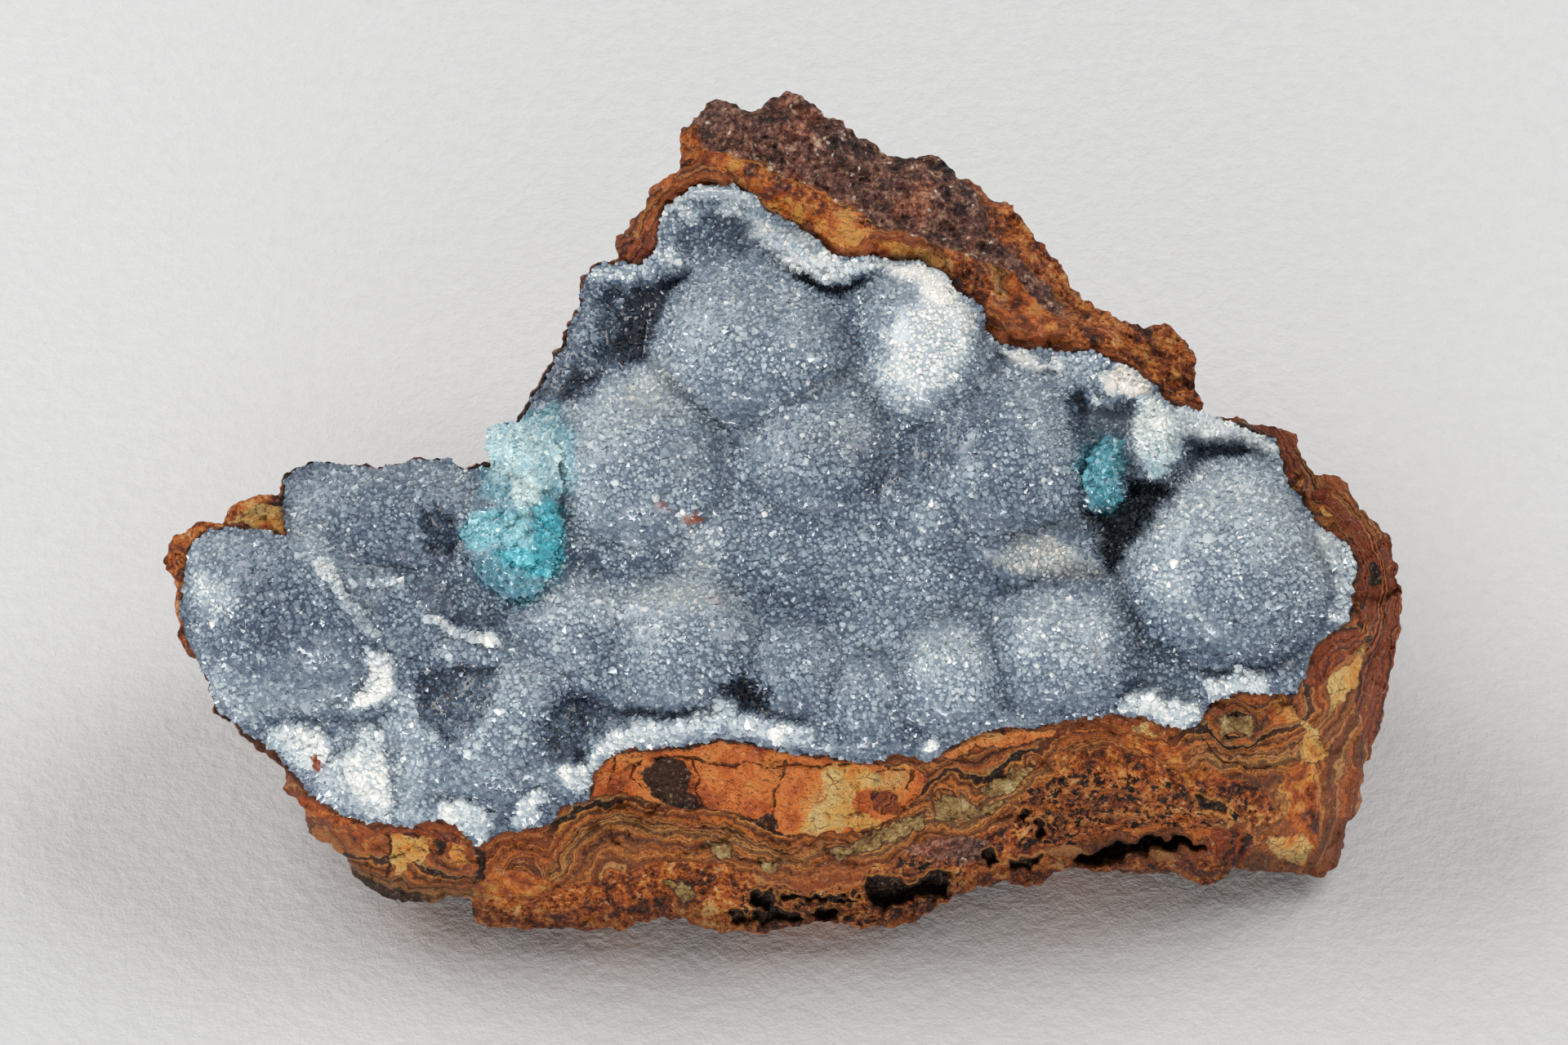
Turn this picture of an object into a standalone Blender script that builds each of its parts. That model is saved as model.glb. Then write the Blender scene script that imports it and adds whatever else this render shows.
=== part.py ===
"""A hand-sized piece of limonite, broken from the wall of a hollow.

Brown banded iron oxide is the matrix. One crust of fine grey-blue quartz crystals lines the hollow
over rounded domes, and blue-green chrysocolla grew on it in two places.

Shapes are drawn as seen from in front and above, in drawing units (u right, v up, w towards the
viewer). place() turns them into metres, with +Z up and the flat base on z = 0.
"""

import math

import bpy
import numpy as np
from mathutils import noise
from mathutils.geometry import delaunay_2d_cdt

# Driving dimensions, in metres and degrees
SPECIMEN_WIDTH = 0.121
VIEW_DISTANCE = 0.853
VIEW_TILT = math.radians(50)
BASE_DROP = 0.0328
CRUST_THICKNESS = 0.0024
SEAT_GAP = 0.0005

# Drawing units
DRAWING_WIDTH = 151.5
UNIT = SPECIMEN_WIDTH / DRAWING_WIDTH
DISTANCE = VIEW_DISTANCE / UNIT
DROP = BASE_DROP / UNIT
THICKNESS = CRUST_THICKNESS / UNIT
BED_GAP = SEAT_GAP / UNIT
SPACING = 2.55
RIM_SPACING = 2.5
LIP = 0.8
EDGE_ROLL = 2.6
EDGE_CLEARANCE = 3.0

# The outline of the whole piece, anticlockwise from the hollow beside the left lobe
OUTLINE = [
    (-34.9, 5.3), (-36.0, 7.0), (-38.7, 6.6), (-40.7, 7.6), (-44.9, 7.9), (-49.9, 6.8), (-53.9, 7.2),
    (-56.7, 7.7), (-58.4, 7.3), (-61.2, 5.5), (-62.1, 3.4), (-64.3, 3.7), (-66.8, 2.4), (-68.9, -0.3),
    (-72.1, -0.4), (-74.9, -1.8), (-76.1, -4.9), (-74.6, -7.7), (-74.3, -10.0), (-74.1, -13.6),
    (-72.0, -16.7), (-70.6, -20.1), (-69.4, -23.1), (-65.9, -26.1), (-64.0, -28.2), (-61.2, -30.2),
    (-61.0, -32.4), (-58.6, -35.4), (-58.3, -37.9), (-54.0, -41.1), (-52.5, -43.2), (-49.1, -45.6),
    (-46.3, -46.1), (-42.7, -46.6), (-41.6, -45.7), (-38.4, -45.8), (-37.9, -48.0), (-36.3, -49.3),
    (-31.6, -50.0), (-28.1, -49.5), (-24.0, -49.9), (-19.5, -49.7), (-14.9, -48.6), (-12.0, -48.4),
    (-10.6, -49.5), (-8.1, -50.3), (-3.0, -50.0), (1.0, -49.7), (6.5, -49.0), (11.4, -49.8),
    (16.3, -49.0), (18.2, -46.8), (22.1, -45.5), (26.4, -44.2), (31.3, -44.2), (33.5, -42.6),
    (37.5, -42.4), (41.6, -42.6), (43.4, -43.2), (48.1, -42.9), (50.7, -44.4), (52.8, -44.2),
    (55.1, -42.6), (59.2, -42.9), (65.7, -43.3), (67.7, -41.7), (68.3, -38.3), (70.5, -35.4),
    (71.0, -32.2), (71.8, -28.4), (72.9, -25.1), (74.2, -19.9), (74.9, -13.5), (75.4, -10.3),
    (75.2, -6.2), (74.6, -2.5), (72.4, 0.0), (70.1, 1.9), (69.1, 4.8), (66.3, 6.0), (64.8, 5.8),
    (63.3, 8.2), (62.7, 10.8), (59.5, 11.8), (54.2, 13.0), (51.6, 13.7), (50.4, 16.2), (50.1, 19.9),
    (49.8, 21.8), (47.3, 23.9), (42.7, 24.5), (39.1, 25.7), (36.2, 27.6), (34.2, 30.9), (32.1, 34.2),
    (29.8, 35.9), (28.0, 39.0), (25.4, 39.6), (22.7, 41.8), (20.1, 43.3), (18.5, 45.0), (15.7, 44.3),
    (12.3, 45.3), (8.9, 47.4), (7.1, 49.1), (4.5, 50.0), (2.1, 52.2), (0.1, 52.6), (-2.6, 51.0),
    (-4.2, 50.5), (-6.7, 51.5), (-8.4, 51.6), (-10.5, 49.6), (-12.5, 48.3), (-13.0, 44.7),
    (-12.8, 43.3), (-15.9, 41.1), (-17.2, 38.3), (-20.5, 34.9), (-20.2, 31.9), (-22.4, 32.3),
    (-24.6, 30.2), (-25.3, 26.8), (-27.3, 23.3), (-26.9, 22.1), (-29.0, 19.2), (-31.0, 15.5),
    (-32.6, 12.2), (-34.2, 8.6),
]

# The edge of the quartz crust, anticlockwise from beside the left lobe
CRUST_EDGE = [
    (-34.6, 5.6), (-36.2, 6.2), (-38.7, 6.0), (-40.7, 6.9), (-44.9, 7.2), (-49.9, 6.1), (-53.9, 6.5),
    (-56.7, 7.0), (-58.4, 6.6), (-60.9, 4.9), (-61.4, 2.0), (-60.7, -1.8), (-63.4, -0.9),
    (-66.8, -0.8), (-70.4, -1.1), (-72.4, -2.9), (-73.5, -6.0), (-73.7, -9.4), (-73.2, -13.6),
    (-71.4, -16.6), (-70.0, -20.0), (-68.8, -22.7), (-65.4, -25.6), (-62.3, -27.8), (-60.2, -30.4),
    (-58.6, -32.7), (-56.6, -34.2), (-53.1, -35.9), (-50.9, -36.8), (-46.6, -37.1), (-44.5, -37.1),
    (-42.0, -36.3), (-39.7, -37.4), (-37.4, -39.6), (-35.2, -38.0), (-31.6, -37.6), (-29.0, -37.1),
    (-27.2, -34.8), (-24.0, -33.9), (-23.1, -30.4), (-21.3, -28.3), (-18.1, -27.6), (-15.9, -27.8),
    (-12.0, -27.3), (-8.3, -26.2), (-3.9, -27.0), (-0.5, -27.8), (4.4, -28.5), (10.5, -29.3),
    (14.5, -28.4), (17.9, -29.0), (20.9, -27.2), (24.6, -25.5), (30.7, -24.9), (35.8, -24.3),
    (39.9, -23.5), (44.3, -23.7), (47.2, -25.0), (49.8, -25.4), (51.0, -24.1), (52.2, -22.1),
    (56.0, -20.7), (59.2, -21.0), (62.5, -20.9), (64.2, -17.2), (64.8, -15.0), (67.7, -13.0),
    (69.2, -12.2), (69.8, -7.7), (70.4, -5.3), (68.9, -2.4), (66.0, -1.2), (64.4, 1.1), (61.6, 5.2),
    (60.5, 8.2), (60.0, 10.4), (57.5, 11.1), (54.5, 12.3), (51.6, 13.0), (48.4, 14.3), (46.9, 14.8),
    (44.7, 17.3), (41.9, 19.2), (39.4, 19.9), (37.5, 21.0), (33.9, 20.9), (29.5, 21.3), (26.5, 21.5),
    (24.5, 23.9), (24.3, 26.5), (21.8, 28.3), (19.8, 30.2), (16.9, 31.8), (12.5, 32.5), (7.8, 32.6),
    (5.9, 33.0), (3.3, 35.3), (0.4, 36.8), (-2.3, 38.0), (-3.9, 40.3), (-6.7, 41.3), (-10.2, 41.2),
    (-13.1, 39.7), (-14.9, 37.4), (-15.8, 32.4), (-17.2, 31.7), (-20.3, 31.0), (-22.4, 31.4),
    (-24.0, 29.6), (-24.6, 26.6), (-26.4, 23.4), (-26.2, 21.7), (-28.2, 18.8), (-30.2, 15.3),
    (-31.8, 12.0), (-33.4, 8.6),
]

# Heights of the lined wall between its domes, as (u, v, w)
WALL_HEIGHTS = [
    (0, 36, -14.5), (-9, 40, -16), (-20, 30, -12.5), (18, 31, -12.5), (25, 22, -9), (40, 19, -8),
    (55, 12, -5.5), (62, 5, -4), (69, -8, -0.5), (66, -14, 2), (57, -20, 6), (49, -25, 8), (35, -24, 9),
    (20, -27, 9.5), (3, -27.5, 10), (-12, -27, 10), (-22, -28.5, 9.5), (-25, -33, 8), (-38, -38, 6.5),
    (-50, -36, 5.5), (-60, -29, 3), (-68, -23, 1.5), (-73, -12, 0), (-73, -5, -0.5), (-66, -1.5, 0.5),
    (-60, 5, -2.5), (-50, 6, -3), (-38, 6, -3), (-31, 13, -5.5), (-27, 23, -9.5), (0, 0, 0),
    (-20, -2, 0.5), (25, -5, 2), (45, -10, 3.5), (-40, -5, 1.5), (-55, -15, 4), (-45, -25, 7),
    (-10, -22, 8), (10, -12, 4.5), (-30, -18, 6),
]

# Heights of the broken limonite around the lined wall, as (u, v, w)
BREAK_HEIGHTS = [
    (-36, 6, -4), (-50, 7, -4), (-61, 5, -4), (-66, 1, -1), (-74, -2, -3), (-76, -5, -3.5),
    (-74, -10, -2.5), (-70, -21, -2), (-64, -28, -1), (-60.5, -31, -0.5), (-58, -37.5, -4),
    (-50, -44.5, -4.5), (-40, -46, -3.5), (-36, -49, -5), (-20, -49.8, -5.5), (-5, -50, -5.5),
    (10, -49.8, -6), (17, -48.5, -6.5), (25, -45, -7.5), (35, -42.5, -8.5), (50, -44, -9.5),
    (60, -43, -10.5), (67, -42, -14), (70.5, -35, -14.5), (73, -24, -11), (75, -12, -6), (75, -4, -4),
    (71, 1, -3), (64.5, 6, -5), (60, 12, -7), (51.5, 14, -8.5), (50, 20, -11), (45, 24.3, -13),
    (36, 27.8, -14), (30, 36, -15.5), (21, 43, -16), (12, 45.5, -15.5), (2, 52, -16.5),
    (-8, 51.5, -16.5), (-13, 45, -16), (-18, 37, -15.5), (-21, 31.5, -14), (-27.5, 22, -11),
    (-33, 12, -7), (-12, 41.5, -15.5), (0, 38, -14.2), (12, 33.5, -12.6), (20, 31, -12),
    (27, 22.5, -9.2), (41, 21, -9), (47, 15.5, -8), (55, 12.8, -6.2), (61.5, 9, -4.8), (63, 4, -3),
    (67, -1, -1.5), (71, -6, -1.5), (70.5, -12, -1), (65, -18, 1.5), (57, -21.8, 5), (50, -26, 6),
    (43, -24.5, 7), (30, -25.8, 7.3), (18, -29.8, 7.2), (3, -29, 8), (-8, -27.6, 8.2), (-20, -29, 7.6),
    (-24.5, -35, 5.6), (-37.5, -40.5, 4), (-46, -38, 3.6), (-53, -37, 2.6), (-59.5, -32.5, 0.5),
    (0, -34, 4.2), (-12, -34, 4.4), (12, -34, 4), (0, -40, 3), (-20, -41, 2.8), (20, -37, 2.5),
    (32, -33, 3.2), (45, -32, 2.6), (58, -30, 0.5), (66, -28, -3), (5, 44, -13.5), (18, 38, -12.8),
    (32, 29, -11.6), (-6, 47, -14.4), (42, -37, -3.5), (10, -45, -2), (-28, -45, -1), (58, -37, -4),
]

# Rounded domes as (u, v, half width, half height, rise)
DOMES = [
    (-4.5, 22, 11.8, 10, 6.5), (-18, 8, 10.5, 10.5, 6.2), (4, 9.5, 8.5, 8.5, 4), (18, 23, 8.3, 11, 6.4),
    (27, 9, 10.5, 10.5, 5.8), (18, 3, 6, 6, 2.4), (55, -5, 13, 13, 9.5), (34.5, -15.5, 9, 9, 5.4),
    (20.3, -19, 6.8, 6.8, 4), (10.5, -21.5, 5, 5, 2.4), (-12, -15, 8.5, 8.5, 4.2), (-27, -12, 6.2, 6, 2.6),
    (1, -18, 5.5, 5.5, 2.6), (-34, -26, 9, 11, 4.4), (-60, -10, 13, 12, 5.6), (-50, 1, 12, 7, 3.4),
    (-46, -11, 5, 5, 1.8), (-39, -18, 5, 5, 2), (-42, -27, 5, 5, 2), (-55, -30, 6, 5, 1.4),
    (32, -4.5, 7, 3.5, 2), (46, 17.2, 4.6, 2.6, 2.4), (46, 10, 2.6, 5.6, 3.6), (55.5, 12, 6, 2.2, 2.2),
    (5, 34, 7, 2.6, 2.4),
]

# Hollows between the domes as (u, v, half width, half height, depth)
HOLLOWS = [
    (-9, 35.5, 7, 4, 5), (-22.5, 23, 5.5, 8, 6), (6.5, 29.5, 4.5, 3, 4), (41.5, 7, 5, 9, 9),
    (41, -2, 4.6, 4.6, 8), (54, 9, 4, 2.4, 5),
]

# Cavities in the broken limonite as (u, v, half width, half height, turn in degrees, depth)
CAVITIES = [
    (41, -40.2, 6, 1.5, 16, 4.5), (14, -44.6, 3, 1.5, 0, 3.5), (-3, -46, 1.6, 1.4, 0, 2.5),
    (30.2, -37, 1.6, 2.2, -30, 2.5), (25, -41, 1.7, 1.3, 0, 2.2),
]

# Ledges and grooves along the broken layers as (half width, rise, line of points)
LEDGES = [
    (1.5, -1.4, [(-24, -33.5), (-16, -35), (-6, -37), (0, -39), (8, -38.6), (15, -35.5), (20, -31.2),
                 (26, -32), (35, -26.8)]),
    (2.3, 1.3, [(-37, -43.5), (-28, -41), (-18, -38.5), (-6, -40.5), (4, -42.2), (14, -41), (22, -38.5)]),
    (2.4, 1.6, [(34, -31), (44, -32.5), (52, -35), (60, -38.5), (66, -40)]),
    (1.4, 1.2, [(38, -42.6), (46, -41), (54, -42.6)]),
    (1.8, 1.2, [(-19, 34), (-14, 42), (-6, 43.5), (2, 39.5), (10, 35.5), (21, 33), (27, 25.5), (40, 22.5)]),
    (2.2, 1.5, [(-8, 48.5), (2, 48.5), (12, 43), (22, 39.5), (29, 32.5)]),
]

# The two chrysocolla growths: outline, rise over what they sit on
LEFT_GROWTH = [
    (-31.6, 12.0), (-34.0, 12.1), (-36.0, 11.4), (-36.3, 9.4), (-35.6, 7.0), (-36.2, 5.2),
    (-37.5, 3.1), (-38.4, 1.0), (-39.3, -1.4), (-38.6, -4.2), (-36.6, -7.2), (-33.4, -9.5),
    (-30.4, -8.6), (-28.4, -6.2), (-27.4, -2.6), (-27.4, 1.4), (-27.2, 5.4), (-27.4, 8.6),
    (-29.0, 11.0),
]
RIGHT_GROWTH = [
    (41.3, 10.4), (38.8, 10.2), (37.4, 8.2), (36.6, 5.4), (36.9, 2.4), (38.6, 1.2), (40.8, 1.8),
    (42.0, 4.2), (41.7, 7.4),
]
LEFT_RISE = 5.2
RIGHT_RISE = 2.6

# The flat base on the table, in drawing units of the table's plane
BASE_CENTRE = (2.0, 3.0)
BASE_RADII = (45.0, 27.0)
BASE_LOBES = 0.05


def camera_coordinates(x, y, z):
    """Drawing coordinates of a point given across, away and up, in drawing units."""
    w = z * math.sin(VIEW_TILT) - y * math.cos(VIEW_TILT)
    nearness = 1 - w / DISTANCE
    return x / nearness, (y * math.sin(VIEW_TILT) + z * math.cos(VIEW_TILT)) / nearness, w


def place(points):
    """Drawing coordinates (n, 3) in metres, before the model is centred."""
    u, v, w = points.T
    nearness = 1 - w / DISTANCE
    across = u * nearness
    away = v * nearness * math.sin(VIEW_TILT) - w * math.cos(VIEW_TILT)
    up = v * nearness * math.cos(VIEW_TILT) + w * math.sin(VIEW_TILT) + DROP
    return np.column_stack((across, away, up)) * UNIT


def thin_plate(spots):
    """A smooth surface through heights given at a few spots."""
    spots = np.array(spots, float)
    centres = spots[:, :2]

    def bend(points):
        squared = ((points[:, None, :] - centres[None]) ** 2).sum(2) + 1e-9
        return 0.5 * squared * np.log(squared)

    count = len(spots)
    system = np.zeros((count + 3, count + 3))
    system[:count, :count] = bend(centres) + 4 * np.eye(count)
    system[:count, count] = 1
    system[:count, count + 1:] = centres
    system[count:, :count] = system[:count, count:].T
    weights = np.linalg.solve(system, np.append(spots[:, 2], (0, 0, 0)))

    def height(points):
        plane = weights[count] + points @ weights[count + 1:]
        return bend(points) @ weights[:count] + plane

    return height


wall_height = thin_plate(WALL_HEIGHTS)
break_height = thin_plate(BREAK_HEIGHTS)


def soft_max(first, second, reach):
    """The larger of two heights, rounded where they cross."""
    share = np.clip(0.5 + 0.5 * (first - second) / reach, 0, 1)
    return second + (first - second) * share + reach * share * (1 - share)


def noise_field(points, size, seed):
    """Smooth noise from -1 to 1 at each point."""
    return np.array([noise.noise((u / size, v / size, seed)) for u, v in points])


def distance_to(points, loop):
    """The distance of each point to a closed outline."""
    start = np.array(loop, float)
    run = np.roll(start, -1, axis=0) - start
    offset = points[:, None, :] - start[None]
    along = np.clip((offset * run).sum(2) / (run ** 2).sum(1), 0, 1)
    return np.sqrt(((offset - along[:, :, None] * run) ** 2).sum(2).min(1))


def inside(points, loop):
    """Which points lie within a closed outline."""
    start = np.array(loop, float)
    end = np.roll(start, -1, axis=0)
    u, v = points[:, :1], points[:, 1:]
    straddles = (start[:, 1] > v) != (end[:, 1] > v)
    rise = np.where(end[:, 1] == start[:, 1], 1, end[:, 1] - start[:, 1])
    crossing = start[:, 0] + (v - start[:, 1]) * (end[:, 0] - start[:, 0]) / rise
    return (straddles & (u < crossing)).sum(1) % 2 == 1


def resample(loop, spacing):
    """Evenly spaced points along a closed outline."""
    loop = np.array(loop, float)
    ends = np.vstack((loop, loop[:1]))
    lengths = np.hypot(*np.diff(ends, axis=0).T)
    travelled = np.append(0, np.cumsum(lengths))
    count = round(travelled[-1] / spacing)
    stations = np.arange(count) * travelled[-1] / count
    return np.column_stack([np.interp(stations, travelled, ends[:, axis]) for axis in (0, 1)])


def distance_to_line(points, line):
    """The distance of each point to an open line."""
    there_and_back = list(line) + list(line)[-2:0:-1]
    return distance_to(points, there_and_back)


def inset(loop, amount):
    """An anticlockwise outline moved inwards, by one amount or one per point."""
    along = np.roll(loop, -1, axis=0) - np.roll(loop, 1, axis=0)
    along /= np.hypot(*along.T)[:, None]
    inwards = np.column_stack((-along[:, 1], along[:, 0]))
    return loop + inwards * np.broadcast_to(np.reshape(amount, (-1, 1)), (len(loop), 1))


def grid_within(loop, spacing, margin):
    """Points of a triangular grid within an outline, slightly shaken, clear of its edge."""
    loop = np.array(loop, float)
    low, high = loop.min(0), loop.max(0)
    rows = np.arange(low[1], high[1], spacing * math.sqrt(0.75))
    columns = np.arange(low[0], high[0], spacing)
    points = np.array([(u + (row % 2) * spacing / 2, v) for row, v in enumerate(rows) for u in columns])
    shake = np.column_stack((noise_field(points, 1.7, 3.3), noise_field(points, 1.7, 8.8)))
    points = points + shake * spacing * 0.25
    points = points[inside(points, loop)]
    return points[distance_to(points, loop) > margin]


def triangles_of(points, loops, keep):
    """Triangles over points, with each loop of point numbers kept as edges; keep() picks triangles."""
    edges = [(loop[i - 1], loop[i]) for loop in loops for i in range(len(loop))]
    places, _, faces, origins, _, _ = delaunay_2d_cdt([tuple(p) for p in points], edges, [], 0, 1e-6)
    numbers = [origin[0] for origin in origins]
    corners = np.array([[numbers[i] for i in face] for face in faces])
    one, two, three = (points[corners[:, i]] for i in range(3))
    turned = np.cross(two - one, three - one) < 0
    corners[turned] = corners[turned][:, ::-1]
    return corners[keep((one + two + three) / 3)]


def domed(points, base):
    """Heights with every dome standing on the base heights."""
    heights = base
    for u, v, half_width, half_height, rise in DOMES:
        across = ((points - (u, v)) / (half_width, half_height)) ** 2
        reach = across.sum(1)
        radius = (1 + (rise / half_width) ** 2) / (2 * rise / half_width)
        cap = np.sqrt(np.maximum(radius ** 2 - reach, 0.04)) - (radius - rise / half_width)
        dome = base + half_width * cap - 0.6 * np.maximum(reach - 1, 0) * half_width
        heights = soft_max(heights, dome, 1.4)
    return heights


def break_surface(points):
    """Heights of the broken limonite, with its cavities and lumps."""
    heights = break_height(points)
    heights += 0.9 * noise_field(points, 7, 1.5) + 0.5 * noise_field(points, 3.2, 6.5)
    for half_width, rise, line in LEDGES:
        heights += rise * np.exp(-(distance_to_line(points, line) / half_width) ** 2)
    for u, v, half_width, half_height, turn, depth in CAVITIES:
        turn = math.radians(turn)
        offset = points - (u, v)
        along = offset[:, 0] * math.cos(turn) + offset[:, 1] * math.sin(turn)
        across = offset[:, 1] * math.cos(turn) - offset[:, 0] * math.sin(turn)
        heights -= depth * np.exp(-((along / half_width) ** 4 + (across / half_height) ** 4))
    return heights


def crust_surface(points):
    """Heights of the crystal crust, rolled down to the broken face along its edge."""
    base = wall_height(points)
    for u, v, half_width, half_height, depth in HOLLOWS:
        reach = (((points - (u, v)) / (half_width, half_height)) ** 2).sum(1)
        base -= depth * np.exp(-reach ** 2)
    heights = domed(points, base) + 0.45 * noise_field(points, 5, 2.5)
    edge = np.clip(1 - distance_to(points, CRUST_EDGE) / EDGE_ROLL, 0, 1) ** 1.5
    return heights * (1 - edge) + (break_surface(points) + 0.4) * edge


def with_heights(points, heights):
    return np.column_stack((points, heights))


def above_table(points, clearance):
    """Drawing coordinates with no point nearer to the table than the clearance."""
    u, v, w = points.T
    slope = math.sin(VIEW_TILT) - v * math.cos(VIEW_TILT) / DISTANCE
    floor = (clearance - DROP - v * math.cos(VIEW_TILT)) / slope
    return np.column_stack((u, v, np.maximum(w, floor)))


def add_object(name, points, faces, material):
    """One named mesh object, its points given in metres."""
    mesh = bpy.data.meshes.new(name)
    mesh.from_pydata(points.tolist(), [], faces.tolist())
    mesh.materials.append(material)
    mesh.update()
    piece = bpy.data.objects.new(name, mesh)
    bpy.context.scene.collection.objects.link(piece)
    return piece


def make_material(name, colour, roughness):
    material = bpy.data.materials.new(name)
    material.use_nodes = True
    shader = material.node_tree.nodes["Principled BSDF"]
    shader.inputs["Base Color"].default_value = (*colour, 1)
    shader.inputs["Roughness"].default_value = roughness
    shader.inputs["Metallic"].default_value = 0
    return material


def base_outline(count):
    """The edge of the flat base, in drawing coordinates."""
    corners = []
    for step in range(count):
        angle = 2 * math.pi * step / count
        reach = 1 + BASE_LOBES * (math.sin(3 * angle + 0.6) + 0.6 * math.sin(5 * angle + 2))
        x = BASE_CENTRE[0] + BASE_RADII[0] * reach * math.cos(angle)
        y = BASE_CENTRE[1] + BASE_RADII[1] * reach * math.sin(angle)
        corners.append(camera_coordinates(x, y, -DROP))
    return np.array(corners)


def back_surface(outline):
    """Rings of points from the outline round to the flat base: points and the base's edge numbers."""
    base = base_outline(36)
    middle = base[:, :2].mean(0)
    base_angle = np.unwrap(np.arctan2(*(base[:, :2] - middle).T[::-1]))
    rings = [outline]
    for degrees, step in ((14, 1), (30, 2), (48, 3), (68, 4)):
        start = outline[::step]
        angle = np.arctan2(*(start[:, :2] - middle).T[::-1])
        angle = base_angle[0] + (angle - base_angle[0]) % (2 * math.pi)
        ends = np.column_stack([
            np.interp(angle, np.append(base_angle, base_angle[0] + 2 * math.pi), np.append(base[:, i], base[0, i]))
            for i in range(3)
        ])
        swing = math.radians(degrees)
        flat = ends[:, :2] + (start[:, :2] - ends[:, :2]) * math.cos(swing) ** 1.1
        depth = start[:, 2] + (ends[:, 2] - start[:, 2]) * math.sin(swing) ** 1.2
        bumps = 1.6 * noise_field(flat, 9, 4.5) + 0.8 * noise_field(flat, 4.5, 7.5)
        ring = with_heights(flat, depth + bumps * math.sin(2 * swing))
        rings.append(above_table(ring, EDGE_CLEARANCE * (1 - degrees / 90)))
    points = np.vstack(rings + [base])
    return points, list(range(len(points) - len(base), len(points)))


def build_matrix(edge, bed_points, bed):
    """The limonite: broken rim, a bed under the crust, a rounded underside and a flat base."""
    outline = resample(OUTLINE, RIM_SPACING)
    rim_inner = grid_within(OUTLINE, RIM_SPACING, RIM_SPACING * 0.6)
    rim_inner = rim_inner[~inside(rim_inner, edge) & (distance_to(rim_inner, edge) > RIM_SPACING * 0.6)]
    front = np.vstack((outline, edge, rim_inner))
    outer = list(range(len(outline)))
    lip = list(range(len(outline), len(outline) + len(edge)))
    rim = triangles_of(front, (outer, lip), lambda middles: inside(middles, outline) & ~inside(middles, edge))
    front = above_table(with_heights(front, break_surface(front)), EDGE_CLEARANCE)

    first = len(front)
    ring = [(i, (i + 1) % len(edge)) for i in range(len(edge))]
    walls = [(first + i, lip[j], first + j) for i, j in ring] + [(first + i, lip[i], lip[j]) for i, j in ring]

    back_points, base_edge = back_surface(front[:len(outline)])
    back = triangles_of(back_points[:, :2], (outer, base_edge), lambda middles: inside(middles, outline))
    shift = first + len(bed_points)
    renumber = np.arange(len(back_points)) + shift - len(outline)
    renumber[:len(outline)] = outer
    faces = np.vstack((rim, bed + first, walls, renumber[back][:, ::-1]))
    points = np.vstack((front, bed_points, back_points[len(outline):]))
    return points, faces


def build_lining():
    """One triangulation shared by the bed and the crust: crust mesh, bed points and bed triangles."""
    edge = resample(CRUST_EDGE, SPACING)
    outline = np.array(OUTLINE)
    for _ in range(6):
        edge = inset(edge, np.clip(LIP - distance_to(edge, outline), 0, LIP))
    rim = inset(edge, 0.6)
    inner = grid_within(rim, SPACING, SPACING * 0.6)
    points = np.vstack((edge, rim, inner))
    outer = list(range(len(edge)))
    crust_rim = list(range(len(edge), 2 * len(edge)))
    bed = triangles_of(points, (outer, crust_rim), lambda middles: inside(middles, edge))
    top = crust_surface(points)
    depth = np.clip(distance_to(points, edge) / 5, 0, 1)
    under = top - THICKNESS * (0.55 + 0.45 * depth)
    in_crust = (bed >= len(edge)).all(1)
    middles = points[bed].mean(1)
    crust = bed[in_crust & inside(middles, rim)] - len(edge)
    return edge, points, bed, crust, top, under


def build_crust(count, points, crust, top, under):
    """The quartz crust, as a sheet of even thickness with a closed edge."""
    size = len(points) - count
    front = with_heights(points[count:], top[count:])
    behind = with_heights(points[count:], under[count:])
    ring = [(i, (i + 1) % count) for i in range(count)]
    sides = [(i, i + size, j) for i, j in ring] + [(j, i + size, j + size) for i, j in ring]
    faces = np.vstack((crust, crust[:, ::-1] + size, sides))
    return np.vstack((front, behind)), faces


def build_growth(outline, rise):
    """A rounded growth lying on the crust, with a lumpy front and a back that follows the crust."""
    edge = resample(outline, 2.2)
    inner = grid_within(edge, 2.0, 1.0)
    points = np.vstack((edge, inner))
    loop = list(range(len(edge)))
    front = triangles_of(points, (loop,), lambda middles: inside(middles, edge))
    seat = np.maximum(crust_surface(points), wall_height(points)) + 1.2
    depth = distance_to(points, edge)
    swell = np.sqrt(np.clip(depth / 4.5, 0, 1))
    top = seat + rise * swell * (1 + 0.18 * noise_field(points, 3.5, 9.5))
    top[loop] = seat[loop] + 0.5
    behind = with_heights(inner, (seat - 0.5)[len(edge):])
    number = np.arange(len(points))
    number[len(edge):] += len(inner)
    faces = np.vstack((front, number[front][:, ::-1]))
    return np.vstack((with_heights(points, top), behind)), faces


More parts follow.
